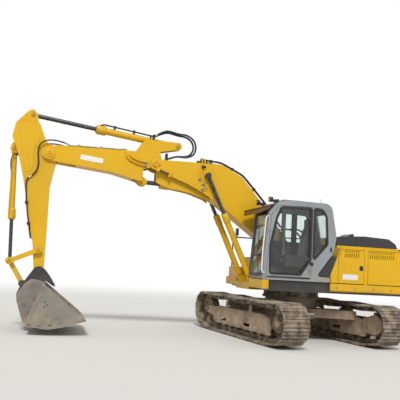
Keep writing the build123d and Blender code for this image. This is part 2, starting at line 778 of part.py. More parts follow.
# Attachment

base_boom_top = ((900, 3075, 250), (1421, 3655, 420), (1930, 3905, 420), (3330, 3880, 60))
fold_web_outline = (
    (2150, 3010, 0), (2270, 3085, 60), (2620, 3196, 300), (2857, 3232, 300), (3120, 3268, 300), (3327, 3332, 60),
    (3427, 3372, 25), (3430, 3640, 25), (3180, 3745, 0), (2690, 3580, 0), (2150, 3450, 0),
)


def base_boom():
    """Lower boom: a closed box girder that opens below at its front round the fold cylinder."""
    face = side_face(((20, 1960, 110),) + base_boom_top + (
        (3600, 3930, 120), (3590, 3680, 120), (3330, 3600, 80), (2700, 3380, 250), (2330, 3210, 200),
        (1889, 2945, 300), (250, 1785, 100)))
    outer = plate(face, 0, 2 * boom_half_width)
    inside = side_face(((330, 2070, 40), (930, 3055, 200), (1440, 3620, 380), (1940, 3875, 380), (3180, 3855, 30),
                        (3180, 3745, 30), (2700, 3580, 60), (2130, 3450, 80), (2130, 3140, 40),
                        (1870, 2970, 260), (420, 1950, 60)))
    inner = boom_half_width - boom_plate
    boom = outer - plate(inside, 0, 2 * inner)
    under_open = side_face(((2160, 3050, 0), (2160, 3430, 40), (2700, 3555, 60), (3200, 3720, 20),
                            (3200, 3985, 0), (3700, 3985, 0), (3700, 3050, 0)))
    boom -= plate(under_open, 0, 2 * inner)
    webs = plates(side_face(fold_web_outline), fold_web_inner, fold_web)
    boom += webs - plate(inside, 0, 2 * inner)
    boom -= cross_pin(boom_foot, main_pin_radius + pin_gap, 600)
    boom += both_sides(fold_pivot, 105, boom_half_width, 22)
    boom += cross_pin(fold_pivot, main_pin_radius, 2 * boom_half_width)
    boom += both_sides(boom_cylinder_eye, 70, boom_half_width, boom_cylinder_offset - 42 - side_gap - boom_half_width)
    boom += cross_pin(fold_cylinder_foot, small_pin_radius, 2 * boom_half_width)
    boom += both_sides(fold_cylinder_foot, 70, boom_half_width, 5)
    return boom


boom_line_path = ((420, 2594), (820, 3110), (1385, 3705), (1930, 3955), (2420, 3985))
boom_line_places = (150, 195)
boom_clamp_places = ((620, 2852, 52), (1100, 3405, 46), (1660, 3831, 25), (2180, 3970, 3), (2400, 3984, 3))


def boom_lines():
    """Four steel lines over the lower boom in clamps that stand on its top plate."""
    top = side_face(((0, 1900, 0), (20, 1960, 0)) + base_boom_top + ((3330, 3000, 0), (1500, 2600, 0)))
    lines = []
    for side in (-1, 1):
        group = None
        for y in boom_line_places:
            points = [(x, side * y, z) for x, z in boom_line_path]
            tube = rail(points, boom_line_radius, 500)
            group = tube if group is None else group + tube
        middle = side * sum(boom_line_places) / 2
        for x, z, slope in boom_clamp_places:
            clamp = Pos(x, middle, z) * Rot(0, -slope, 0) * Pos(0, 0, -40) * Box(50, 95, 130)
            group += clamp - plate(offset(top, seat_gap, kind=Kind.INTERSECTION), 0, 2 * boom_half_width)
        lines.append(group)
    return lines


front_boom_top = ((3420, 4035), (5560, 3990), (5760, 3970))


def front_boom():
    """Upper boom: box girder, fork at its tip, lugs for the fold and the arm cylinder's brackets."""
    (x1, z1), (x2, z2), (x3, z3) = front_boom_top
    face = side_face(((3360, 4000, 60), (x1, z1, 0), (x2, z2, 60), (x3, z3, 60), (5960, 3880, 120),
                      (5960, 3690, 120), (5760, 3640, 120), (5338, 3600, 300), (4433, 3510, 300),
                      (3790, 3360, 40), (3740, 3360, 40), (3740, 3640, 30), (3560, 3690, 40),
                      (3460, 3670, 60), (3335, 3740, 100), (3335, 3900, 80)))
    outer = plate(face, 0, 2 * front_boom_half_width)
    inside = side_face(((3760, 3960, 0), (5170, 3955, 0), (5170, 3625, 0), (4425, 3545, 0), (3775, 3395, 0)))
    inner = front_boom_half_width - front_boom_plate
    boom = outer - plate(inside, 0, 2 * inner)
    lane = side_face(((3700, 3200, 0), (3960, 3200, 0), (3960, 3440, 0), (3900, 3475, 0), (3700, 3475, 0)))
    boom -= plate(lane, 0, 2 * inner)
    boom += plate(side_face(((3735, 3475, 0), (3760, 3475, 0), (3760, 3980, 0), (3735, 3980, 0))), 0, 2 * inner)
    fork = side_face(((5220, 4200, 0), (5220, 3500, 0), (6100, 3500, 0), (6100, 4200, 0)))
    boom -= plate(fork, 0, 2 * (arm_half_width + side_gap))
    rear = side_face(((3200, 4005, 0), (3735, 3995, 0), (3735, 3470, 0), (3200, 3470, 0)))
    boom -= plate(rear, 0, 2 * inner)
    boom -= cross_pin(fold_pivot, main_pin_radius + pin_gap, 700)
    boom += cross_pin(arm_pivot, main_pin_radius, 2 * front_boom_half_width)
    boom += both_sides(arm_pivot, 128, front_boom_half_width, 20)
    bracket = side_face(((2865, 4190, 60), (2885, 4330, 70), (3730, 4335, 80), (3910, 4060, 30), (3910, 3960, 0),
                         (3420, 3960, 0), (3360, 4080, 60)))
    boom += plates(bracket, 95, 26)
    boom += cross_pin(arm_cylinder_foot, small_pin_radius, 2 * 121)
    boom += both_sides(arm_cylinder_foot, 60, 121, 16)
    ears = side_face(((3610, 3400, 60), (3640, 3275, 70), (3770, 3275, 70), (3960, 3440, 30), (3960, 3500, 0),
                      (3745, 3500, 0)))
    boom += plates(ears, 66, 30)
    boom += both_sides(fold_cylinder_eye, small_pin_radius + 22, 96, 12)
    return boom


front_clamp_places = (4190, 4700, 5200)


def front_boom_lines():
    """Two steel lines on each side of the upper boom's top, with their clamps."""
    (x1, z1), (x2, z2) = front_boom_top[:2]
    slope = (z2 - z1) / (x2 - x1)
    radius = boom_line_radius - 4
    rise = radius + seat_gap + 8
    start, end = 4130, 5420
    lines = []
    for side in (-1, 1):
        group = None
        for y in (140, 182):
            tube = rail([(x, side * y, z1 + slope * (x - x1) + rise) for x in (start, end)], radius, 0)
            group = tube if group is None else group + tube
        for x in front_clamp_places:
            z = z1 + slope * (x - x1)
            clamp = Pos(x, side * 161, z + seat_gap + 24) * Rot(0, -degrees(atan2(slope, 1)), 0) * Box(45, 88, 48)
            group += clamp
        lines.append(group)
    return lines


def arm():
    """Dipper arm: box girder, ears for both cylinders and the bosses for bucket and link."""
    face = side_face([(6050, 4450, 20), (6545, 4420, 20), (6600, 4100, 60), (6440, 3720, 80), (6291, 3169, 300),
                      (5990, 1798, 300), (5925, 1230, 80), (5860, 1135, 90), (5720, 1150, 80), (5720, 1325, 40),
                      (5735, 3109, 300), (5640, 3640, 120), (5640, 3930, 120), (5886, 4052, 60)])
    outer = plate(face, 0, 2 * arm_half_width)
    inside = side_face([(6080, 4420, 0), (6520, 4395, 0), (6555, 4130, 0), (6405, 3800, 0), (6345, 3500, 0),
                        (6265, 3160, 0), (5990, 1900, 0), (5970, 1790, 0), (5970, 1640, 0), (5765, 1640, 0),
                        (5762, 3109, 0), (5975, 3560, 0), (5975, 4050, 0)])
    shape = outer - plate(inside, 0, 2 * (arm_half_width - arm_plate))
    below_panel = side_face(((5500, 1000, 0), (5500, 3620, 0), (5930, 3620, 0), (5955, 3400, 60), (6060, 3235, 120),
                             (6230, 3225, 80), (6350, 3340, 40), (6700, 3340, 0), (6700, 1000, 0)))
    shape -= plates(below_panel, arm_half_width - arm_relief, 2 * arm_relief)
    ears = side_face([(6075, 4430, 0), (6105, 4640, 60), (6215, 4765, 60), (6330, 4680, 60), (6545, 4430, 0)])
    shape += plates(ears, 62, 40)
    cylinder_ears = side_face([(6420, 3990, 0), (6590, 3980, 60), (6640, 3800, 80), (6500, 3750, 60),
                               (6330, 3640, 0), (6330, 3990, 0)])
    shape += plates(cylinder_ears, 62, 30)
    shape -= plate(side_face([(6430, 3990, 40), (6700, 3990, 0), (6700, 3700, 0), (6370, 3700, 40)]), 0, 124)
    shape -= cross_pin(arm_pivot, main_pin_radius + pin_gap, 600)
    shape -= cross_pin(bucket_pivot, main_pin_radius + pin_gap, 600)
    shape -= plates(side_face([(5600, 1040, 0), (5600, 1610, 0), (6050, 1610, 0), (6050, 1040, 0)]),
                    arm_end_half_width, 60)
    shape += cross_pin(bucket_cylinder_foot, small_pin_radius, 2 * 92)
    shape += both_sides(bucket_cylinder_foot, 58, 92, 12)
    shape += both_sides(arm_cylinder_eye, 58, 102, 14)
    shape += cross_pin(idler_link_pivot, small_pin_radius, 2 * (idler_link_inner + idler_link_plate + 4))
    shape += both_sides(idler_link_pivot, 70, arm_half_width, idler_link_inner - arm_half_width - side_gap)
    return shape


def link_bar(start, end, start_radius, end_radius):
    """Outline of a straight link with a round end about each pin."""
    length = hypot(end[0] - start[0], end[1] - start[1])
    angle = degrees(atan2(end[1] - start[1], end[0] - start[0]))
    bar = Circle(start_radius) + Pos(length, 0) * Circle(end_radius)
    bar += Pos(length / 2, 0) * Rectangle(length, 1.3 * min(start_radius, end_radius))
    return Pos(start[0], 0, start[1]) * Rot(0, -angle, 0) * Rot(90, 0, 0) * bar


def idler_links():
    """The two guide links outside the arm and the pin that joins them at the rod's eye."""
    bar = link_bar(idler_link_pivot, rod_link_pivot, 72, 78)
    links = plates(bar, idler_link_inner, idler_link_plate)
    links -= cross_pin(idler_link_pivot, small_pin_radius + pin_gap, 700)
    links += both_sides(rod_link_pivot, small_pin_radius, connecting_link_inner, idler_link_inner - connecting_link_inner)
    return links


def connecting_links():
    """The two push links between the idler links' pin and the hitch."""
    bar = link_bar(rod_link_pivot, hitch_link_pivot, 78, 66)
    links = plates(bar, connecting_link_inner, connecting_link_plate)
    links -= cross_pin(rod_link_pivot, small_pin_radius + pin_gap, 700)
    links += cross_pin(hitch_link_pivot, small_pin_radius, 2 * connecting_link_inner)
    return links


def cylinder_parts(foot, eye, barrel_length, barrel_radius, rod_radius, rod_length, eye_width, offsets=(0,),
                   eye_radius=None, rod_eye_width=None):
    """Barrel and rod between two pins, drawn along +X and then turned on to their line."""
    length = hypot(eye[0] - foot[0], eye[1] - foot[1])
    angle = degrees(atan2(eye[1] - foot[1], eye[0] - foot[0]))
    eye_radius = eye_radius or barrel_radius
    rod_eye_width = rod_eye_width or eye_width
    bore_start = eye_radius + 22
    barrels, rods = [], []
    for y in offsets:
        barrel = cross_pin((0, 0), eye_radius, eye_width)
        barrel += block(0, bore_start, -eye_width / 2 + 8, eye_width / 2 - 8, -barrel_radius * 0.8, barrel_radius * 0.8)
        tube = Rot(0, 90, 0) * Cylinder(barrel_radius, barrel_length - bore_start)
        barrel += Pos((barrel_length + bore_start) / 2, 0, 0) * tube
        gland = Rot(0, 90, 0) * Cylinder(barrel_radius + 8, 110)
        barrel += Pos(barrel_length - 55, 0, 0) * gland
        bore = Rot(0, 90, 0) * Cylinder(rod_radius + seat_gap * 2, barrel_length - bore_start)
        barrel -= Pos((barrel_length + bore_start) / 2 + 15, 0, 0) * bore
        barrel -= cross_pin((0, 0), small_pin_radius + pin_gap, 400)
        rod = Pos(length - rod_length / 2, 0, 0) * Rot(0, 90, 0) * Cylinder(rod_radius, rod_length)
        rod += cross_pin((length, 0), eye_radius, rod_eye_width)
        placed = Pos(foot[0], y, foot[1]) * Rot(0, -angle, 0)
        barrels.append(placed * barrel)
        rods.append(placed * rod)
    return barrels, rods


hitch_outline = (
    (5428, 915, 15), (5560, 1130, 60), (5688, 1290, 60), (5790, 1362, 70), (5905, 1335, 70), (6190, 900, 120),
    (6240, 757, 80), (6218, 600, 80), (6150, 445, 40), (6050, 470, 30), (5850, 900, 60), (5745, 1075, 40),
    (5650, 1048, 20),
)


def hitch():
    """Quick hitch: side plates round the arm's end, a cross body and the pins it hangs on."""
    pair = plates(side_face(hitch_outline), hitch_plate_inner, hitch_plate)
    pair += both_sides(hitch_link_pivot, 68, hitch_plate_inner, hitch_plate)
    body = plate(side_face(((5985, 640, 20), (5940, 800, 20), (6150, 800, 30), (6150, 640, 20))), 0,
                 2 * hitch_plate_inner)
    nose = plate(side_face(((5465, 935, 10), (5520, 1030, 0), (5640, 1060, 0), (5560, 985, 0))), 0,
                 2 * hitch_plate_inner)
    shape = pair + body + nose
    shape += cross_pin(bucket_pivot, main_pin_radius, 2 * (hitch_plate_inner + hitch_plate))
    shape += both_sides(bucket_pivot, 80, hitch_plate_inner + hitch_plate, 6)
    link_outer = connecting_link_inner + connecting_link_plate + side_gap
    shape += both_sides(hitch_link_pivot, small_pin_radius, link_outer, hitch_plate_inner + hitch_plate + 8 - link_outer)
    for pin in (upper_bucket_pin, lower_bucket_pin):
        shape -= cross_pin(pin, main_pin_radius + pin_gap, 600)
    return shape


bucket_apex = (5702, 1032)
bucket_tip = (4790, 315)
bucket_outline = (
    bucket_apex + (20,), (6022, 165, 80), (5800, 160, 300), (5560, 120, 300), (5200, 190, 300), bucket_tip + (0,),
)
bucket_ear_outline = (
    (5690, 1040, 20), (5830, 1070, 40), (5960, 1090, 80), (6085, 990, 80), (6236, 757, 60), (6216, 610, 60),
    (6140, 384, 60), (6060, 160, 30), (5960, 180, 0), (5890, 480, 0),
)
bucket_slots = ((5927, 215, 20), (5714, 195, 5), (5504, 215, -8), (5304, 265, -15))


def bucket():
    """Wide ditching bucket: wrapped shell, side plates, cutting edge, ears and hitch pins."""
    face = side_face(bucket_outline)
    outer = plate(face, 0, bucket_width)
    across, down = bucket_apex[0] - bucket_tip[0], bucket_apex[1] - bucket_tip[1]
    mouth_angle = atan2(down, across)
    push = bucket_plate + 30
    inside = offset(face, -bucket_plate, kind=Kind.INTERSECTION)
    cavity = plate(inside, 0, bucket_width - 2 * bucket_plate)
    cavity += Pos(-push * sin(mouth_angle), 0, push * cos(mouth_angle)) * cavity
    shell = outer - cavity
    rim = Pos(bucket_apex[0] - 6, 0, bucket_apex[1] - 36) * Rot(90, 0, 0)
    shell += rim * Cylinder(36, bucket_width)
    strip = side_face((bucket_apex + (0,), (bucket_apex[0] + 314, bucket_apex[1] - 850, 0),
                       (bucket_apex[0] + 256, bucket_apex[1] - 850, 0), (bucket_apex[0] - 58, bucket_apex[1] - 30, 0)))
    shell += plates(strip & face, bucket_width / 2, 12)
    for x, z, slope in bucket_slots:
        shell -= plates(Pos(x, 0, z) * Rot(0, -slope, 0) * Rot(90, 0, 0) * Rectangle(90, 26),
                        bucket_width / 2 - bucket_plate - 1, bucket_plate + 2)
    inner = hitch_plate_inner + hitch_plate + side_gap
    shell += plates(side_face(bucket_ear_outline), inner, bucket_ear) - plate(offset(face, -5), 0, bucket_width)
    for pin in (upper_bucket_pin, lower_bucket_pin):
        shell += cross_pin(pin, main_pin_radius, 2 * (inner + bucket_ear))
        shell += both_sides(pin, 62, inner + bucket_ear, 8)
    return shell


tank_plate = 12
tank_blocks = (
    (-1090, -335, 490, 2120), (-325, 330, 490, 2060), (335, 755, 600, 1840), (757, 1150, 600, 1580),
)


def right_side_tanks():
    """Fuel and oil tanks, the tool box with its steps in front of them."""
    edge = body_half_width
    tanks = []
    for rear, front, inner, top in tank_blocks:
        tank = block(rear, front, -edge, -inner, deck_top, top)
        tank = fillet(tank.edges().filter_by(Axis.X).sort_by(Axis.Z)[-2:], 40)
        wall = tank_plate
        tanks.append(tank - block(rear + wall, front - wall, -edge + wall, -inner - wall, deck_top + wall, top - 45))
    return Compound(children=tanks)


rail_side = -body_half_width + 70


def rail(points, radius, bend):
    """A bent tube through points with the same bend at each corner."""
    path = FilletPolyline(*points, radius=bend) if bend else Line(*points)
    start = Plane(origin=path @ 0, z_dir=path % 0)
    return sweep(start * Circle(radius), path=path)


def handrails():
    """Rails beside the tool box steps and along the right side's top."""
    y = rail_side
    first = rail(((1100, y, 1580), (1100, y, 2330), (400, y, 2330), (400, y, 1840)), 17, 90)
    second = rail(((250, y, 2060), (250, y, 2400), (-900, y, 2400), (-900, y, 2120)), 17, 90)
    return [first, second]


def mirrors():
    """Rear-view mirror on the front handrail."""
    stem = block(985, 1015, rail_side - 8, rail_side + 8, 2347 + seat_gap, 2390)
    case = fillet(block(978, 1022, rail_side - 75, rail_side + 75, 2380, 2560).edges().filter_by(Axis.X), 20)
    return stem + case


def work_lamps():
    """Two round lamps over the cab's front roof corners."""
    lamps = []
    for y in (cab_inner_side + 60, body_half_width - 60):
        lamp = Pos(1080, y, 3068) * Rot(0, 90, 0) * Cylinder(56, 70)
        arm_face = side_face(((880, 2990, 0), (985, 2992, 0), (1075, 3040, 8), (1060, 3066, 8), (900, 3085, 0)))
        lamp += plate(arm_face, y, 24)
        lamps.append(lamp - cab_solid())
    return lamps


def engine_block():
    return block(deck_rear + 200, deck_rear + 850, -350, 450, engine_seat, 1950)


def radiator():
    return block(deck_rear + 250, deck_rear + 970, 900, 1120, deck_top, 2060)


def main():
    os.makedirs("parts", exist_ok=True)
    half = track_gauge / 2
    save("car_body", under(car_body()))
    for name, side in (("left", 1), ("right", -1)):
        save(f"{name}_track", under(track(side * half)))
    save("track_frames", under(Compound(children=[track_frame(half, 1), track_frame(-half, -1)])))
    rollers = roller_row(half) + roller_row(-half) + [idler(half), idler(-half)]
    save("rollers_and_idlers", under(Compound(children=rollers)))
    save("sprockets", under(Compound(children=[sprocket(half, 1), sprocket(-half, -1)])))
    save("slew_ring", slew_ring())
    save("deck_frame", deck_frame())
    save("side_decks", side_decks())
    save("skirts", skirts())
    save("counterweight", counterweight())
    save("side_panels", side_panels())
    save("left_front_door", housing_door(door_front, post_front, 1, -700, -1060, door_edge))
    save("left_rear_door", housing_door(post_rear, deck_rear + 45, 1, -1310, -1930))
    save("right_door", housing_door(right_door_front, deck_rear + 45, -1, -1310, -1930))
    save("engine_hood", hood())
    save("exhaust", exhaust())
    save("engine_and_radiator", Compound(children=[engine_block(), radiator()]))
    save("right_side_tanks", right_side_tanks())
    save("handrails", Compound(children=handrails()))
    save("mirrors", mirrors())
    save("cab_shell", cab_shell())
    save("cab_windows", Compound(children=cab_windows()))
    save("cab_visor", cab_visor())
    save("seat_and_controls", Compound(children=[operator_seat(), controls()]))
    save("cab_door", cab_door())
    save("door_glass", door_glass())
    save("work_lamps", Compound(children=work_lamps()))
    save("base_boom", base_boom())
    save("boom_lines", Compound(children=boom_lines()))
    save("front_boom", front_boom())
    save("front_boom_lines", Compound(children=front_boom_lines()))
    save("arm", arm())
    save("idler_links", idler_links())
    save("connecting_links", connecting_links())
    save("hitch", hitch())
    save("bucket", bucket())
    cylinders = (
        ("boom_cylinder", boom_cylinder_foot, boom_cylinder_eye, 1594, 68, 42, 1700, 62,
         (boom_cylinder_offset, -boom_cylinder_offset), 66, 84),
        ("fold_cylinder", fold_cylinder_foot, fold_cylinder_eye, 1020, 95, 50, 900, 120, (0,), 72, 120),
        ("arm_cylinder", arm_cylinder_foot, arm_cylinder_eye, 1890, 78, 48, 2100, 178, (0,), 70, 112),
        ("bucket_cylinder", bucket_cylinder_foot, rod_link_pivot, 1526, 58, 38, 1500, 112, (0,), 60, 112),
    )
    for name, foot, eye, reach, radius, rod, rod_length, width, offsets, eye_radius, rod_width in cylinders:
        barrels, rods = cylinder_parts(foot, eye, reach, radius, rod, rod_length, width, offsets, eye_radius, rod_width)
        save(f"{name}_barrel", Compound(children=barrels))
        save(f"{name}_rod", Compound(children=rods))


main()
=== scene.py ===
import math
from functools import partial
import bmesh
import bpy
import numpy as np
from mathutils import Matrix


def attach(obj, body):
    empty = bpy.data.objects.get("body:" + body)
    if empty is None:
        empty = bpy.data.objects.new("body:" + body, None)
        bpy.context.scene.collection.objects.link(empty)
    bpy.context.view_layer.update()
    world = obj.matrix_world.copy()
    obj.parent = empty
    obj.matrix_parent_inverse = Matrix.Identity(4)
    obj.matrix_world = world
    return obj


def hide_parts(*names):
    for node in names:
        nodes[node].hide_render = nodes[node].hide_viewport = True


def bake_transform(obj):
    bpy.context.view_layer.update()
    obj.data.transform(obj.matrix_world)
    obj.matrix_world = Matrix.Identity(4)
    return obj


# Crawler excavator with a two-piece boom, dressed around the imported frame.
# Lengths are metres, angles degrees.  +X is the boom's direction, +Y the cab's side, +Z up.
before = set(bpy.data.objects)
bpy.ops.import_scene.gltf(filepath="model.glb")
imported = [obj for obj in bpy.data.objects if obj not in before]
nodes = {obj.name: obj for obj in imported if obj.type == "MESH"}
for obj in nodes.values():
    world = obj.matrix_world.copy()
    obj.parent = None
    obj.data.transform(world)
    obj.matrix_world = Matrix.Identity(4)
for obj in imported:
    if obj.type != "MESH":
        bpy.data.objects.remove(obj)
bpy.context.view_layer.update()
print("stage 1: frame loaded,", len(nodes), "nodes")


# Camera, floor and light

photoCamera = {"place": (5.65, 13.458, 1.572), "heading": -103.81, "pitch": 6.167, "roll": -3.174,
               "focalPixels": 600.46, "framePixels": 400, "sensorWidth": 36}
stage = {"floor": "#d9d7d2", "backdrop": 1.0, "floorMiddle": 2.0, "floorRadius": 60.0, "floorLevel": -0.002,
         "fadeFrom": 11.0, "fadeTo": 26.0, "worldLight": 0.5, "keyStrength": 2.3, "keyAngle": 12.0,
         "keyFrom": (78, 46), "fillStrength": 0.4, "fillAngle": 60.0, "fillFrom": (150, 30)}


def linear(hexColour):
    # sRGB to linear light: a channel c becomes ((c + 0.055) / 1.055) to the power 2.4
    channels = [int(hexColour[i:i + 2], 16) / 255 for i in (1, 3, 5)]
    return [c / 12.92 if c <= 0.04045 else ((c + 0.055) / 1.055) ** 2.4 for c in channels] + [1]


def circle(count, radius=1.0, start=0.0):
    # radius * (cos a, sin a) at count even angles a, the first one at start
    angles = math.radians(start) + np.linspace(0, 2 * np.pi, count, endpoint=False)
    return radius * np.column_stack([np.cos(angles), np.sin(angles)])


def add(tree, kind, inputs=None, out=0, **settings):
    # One node with its settings; an input is a value or another node's socket.  Returns the named output.
    node = tree.nodes.new("ShaderNode" + kind)
    for name, value in settings.items():
        setattr(node, name, value)
    for name, value in (inputs or {}).items():
        if isinstance(value, bpy.types.NodeSocket):
            tree.links.new(value, node.inputs[name])
        else:
            node.inputs[name].default_value = value
    return node if out is None else node.outputs[out]


def makeFinish(name, surface, look):
    # A new material whose shader comes from surface(node, place, look), with place in metres on the object
    material = bpy.data.materials.new(name)
    material.use_nodes = True
    material.node_tree.nodes.clear()
    node = partial(add, material.node_tree)
    node("OutputMaterial", {"Surface": surface(node, node("TexCoord", out="Object"), look)}, out=None)
    return material


def cameraAtPhoto():
    # Heading, pitch and roll turned to the camera's right, up and back axes
    heading, pitch, roll = (math.radians(photoCamera[key]) for key in ("heading", "pitch", "roll"))
    forward = np.array([math.cos(pitch) * math.cos(heading), math.cos(pitch) * math.sin(heading), math.sin(pitch)])
    right = np.cross(forward, (0, 0, 1))
    right /= np.linalg.norm(right)
    down = np.cross(forward, right)
    turnedRight = math.cos(roll) * right + math.sin(roll) * down
    turnedDown = math.cos(roll) * down - math.sin(roll) * right
    data = bpy.data.cameras.new("photo_camera")
    data.sensor_width = photoCamera["sensorWidth"]
    data.lens = photoCamera["focalPixels"] / photoCamera["framePixels"] * data.sensor_width
    data.clip_end = 200
    camera = bpy.data.objects.new("photo_camera", data)
    bpy.context.scene.collection.objects.link(camera)
    axes = np.column_stack([turnedRight, -turnedDown, -forward])
    camera.matrix_world = Matrix.LocRotScale(photoCamera["place"], Matrix(axes.tolist()), None)
    bpy.context.scene.camera = camera


def softLamp(name, fromWhere, strength, angle):
    # A broad sun from an azimuth, measured from +X towards +Y, and an elevation
    lamp = bpy.data.lights.new(name, "SUN")
    lamp.energy = strength
    lamp.angle = math.radians(angle)
    holder = bpy.data.objects.new(name, lamp)
    bpy.context.scene.collection.objects.link(holder)
    azimuth, elevation = fromWhere
    holder.rotation_euler = (0, math.radians(90 - elevation), math.radians(azimuth))


def softWorld():
    # An even white sky that lights gently, and is seen as full white by camera, gloss and glass
    world = bpy.data.worlds.new("soft_world")
    bpy.context.scene.world = world
    world.use_nodes = True
    world.node_tree.nodes.clear()
    node = partial(add, world.node_tree)
    path = node("LightPath", out=None)
    direct = node("Math", {0: path.outputs["Is Camera Ray"], 1: path.outputs["Is Glossy Ray"]}, operation="MAXIMUM")
    seen = node("Math", {0: direct, 1: path.outputs["Is Transmission Ray"]}, operation="MAXIMUM")
    light = node("Background", {"Color": (1, 1, 1, 1), "Strength": stage["worldLight"]})
    white = node("Background", {"Color": (1, 1, 1, 1), "Strength": stage["backdrop"]})
    node("OutputWorld", {"Surface": node("MixShader", {0: seen, 1: light, 2: white})}, out=None)


def fadingMatt(node, place, look):
    # Matt near the machine; the camera sees it fade to the backdrop's white far off
    distance = node("VectorMath", {0: place}, out="Value", operation="LENGTH")
    far = node("MapRange", {"Value": distance, "From Min": look["fadeFrom"], "From Max": look["fadeTo"]},
               interpolation_type="SMOOTHSTEP")
    matt = node("BsdfDiffuse", {"Color": linear(look["floor"])})
    white = node("Emission", {"Color": (1, 1, 1, 1), "Strength": look["backdrop"]})
    seen = node("Math", {0: far, 1: node("LightPath", out="Is Camera Ray")}, operation="MULTIPLY")
    return node("MixShader", {0: seen, 1: matt, 2: white})


def paleFloor():
    # A disc just under the shoes
    rim = np.insert(circle(96, stage["floorRadius"]), 2, stage["floorLevel"], 1) + (stage["floorMiddle"], 0, 0)
    mesh = bpy.data.meshes.new("floor")
    mesh.from_pydata(rim.tolist(), [], [list(range(len(rim)))])
    mesh.materials.append(makeFinish("pale_floor_matt", fadingMatt, stage))
    floor = bpy.data.objects.new("floor", mesh)
    bpy.context.scene.collection.objects.link(floor)


cameraAtPhoto()
softLamp("key_lamp", stage["keyFrom"], stage["keyStrength"], stage["keyAngle"])
softLamp("fill_lamp", stage["fillFrom"], stage["fillStrength"], stage["fillAngle"])
softWorld()
paleFloor()
bpy.context.scene.view_settings.view_transform = "Standard"
print("stage 2: camera, lamps and floor")


# Finishes

def patchy(node, place, scale, detail, low, high, most=1.0, roughness=0.5):
    # Noise with about scale spots per metre, cut to 0 below its low level and to most above its high one
    noise = node("TexNoise", {"Vector": place, "Scale": scale, "Detail": detail, "Roughness": roughness})
    return node("MapRange", {"Value": noise, "From Min": low, "From Max": high, "To Max": most})


def edgeShare(node, width):
    # 1 where a normal rounded over width leaves the face's own, so on sharp edges, and 0 on flats
    normals = {0: node("Bevel", {"Radius": width}, samples=4), 1: node("NewGeometry", out="Normal")}
    alike = node("VectorMath", normals, out="Value", operation="DOT_PRODUCT")
    return node("MapRange", {"Value": alike, "From Min": 0.995, "From Max": 0.93})


def facingUp(node, low, high, most):
    # 0 where the normal's upward part is below low, most where it is above high
    up = node("SeparateXYZ", {0: node("NewGeometry", out="Normal")}, out="Z")
    return node("MapRange", {"Value": up, "From Min": low, "From Max": high, "To Max": most})


def coated(node, under, coats):
    # under * (1 - share) + coat * share, for one coat after the other
    colour = linear(under)
    for share, coat in coats:
        colour = node("Mix", {0: share, 6: colour, 7: linear(coat)}, out=2, data_type="RGBA")
    return colour


def paintedSteel(node, place, look):
    # Two-pack enamel sprayed on steel plate: an even colour with faint orange peel,
    # sun-faded in broad patches, chipped to primer along its edges, dust where it can lie.
    patches = node("TexNoise", {"Vector": place, "Scale": look["patchesPerMetre"], "Detail": 4})
    fade = node("MapRange", {"Value": patches, "From Min": 0.35, "From Max": 0.7}, interpolation_type="SMOOTHSTEP")
    # Rain streaks about 30 mm wide, stretched down the plates
    tall = node("Mapping", {"Vector": place, "Scale": (30, 30, 1.6)})
    streaks = patchy(node, tall, 1, 3, 0.52, 0.85, look["streaks"])
    # Dust thrown up from the ground, and dust that settled on faces that look up
    height = node("SeparateXYZ", {0: place}, out="Z")
    low = node("MapRange", {"Value": height, "From Min": look["dustTop"], "From Max": look["dustFull"]})
    clouds = patchy(node, place, 3.2, 6, 0.32, 0.62)
    thrown = node("Math", {0: low, 1: clouds}, operation="MULTIPLY")
    settled = node("Math", {0: facingUp(node, 0.3, 0.95, look["settledDust"]), 1: clouds}, operation="MULTIPLY")
    dust = node("Math", {0: thrown, 1: settled}, operation="MAXIMUM")
    # Chips 5 to 20 mm long along the edges
    flakes = patchy(node, place, 38, 4, look["chipFrom"], look["chipFrom"] + 0.12)
    chips = node("Math", {0: edgeShare(node, look["edgeWidth"]), 1: flakes}, operation="MULTIPLY")
    colour = coated(node, look["paint"], ((fade, look["faded"]), (streaks, look["stain"]), (dust, look["dust"]),
                                          (chips, look["bare"])))
    # Orange peel is 1 mm across and drawn at 4 mm so that it shows; grit lies in the dust
    peel = node("TexNoise", {"Vector": place, "Scale": 240, "Detail": 2})
    speckle = node("TexNoise", {"Vector": place, "Scale": 90, "Detail": 4})
    grit = node("Math", {0: speckle, 1: dust}, operation="MULTIPLY")
    relief = node("Math", {0: peel, 1: 0.25, 2: grit}, operation="MULTIPLY_ADD")
    worn = node("MapRange", {"Value": dust, "To Min": look["roughness"], "To Max": 0.9})
    return node("BsdfPrincipled", {
        "Base Color": colour, "Roughness": node("Math", {0: patches, 1: 0.12, 2: worn}, operation="MULTIPLY_ADD"),
        "Normal": node("Bump", {"Height": relief, "Strength": 0.2, "Distance": 0.004}),
        "Coat Weight": look["coat"], "Coat Roughness": 0.25, "Specular IOR Level": look["specular"]})


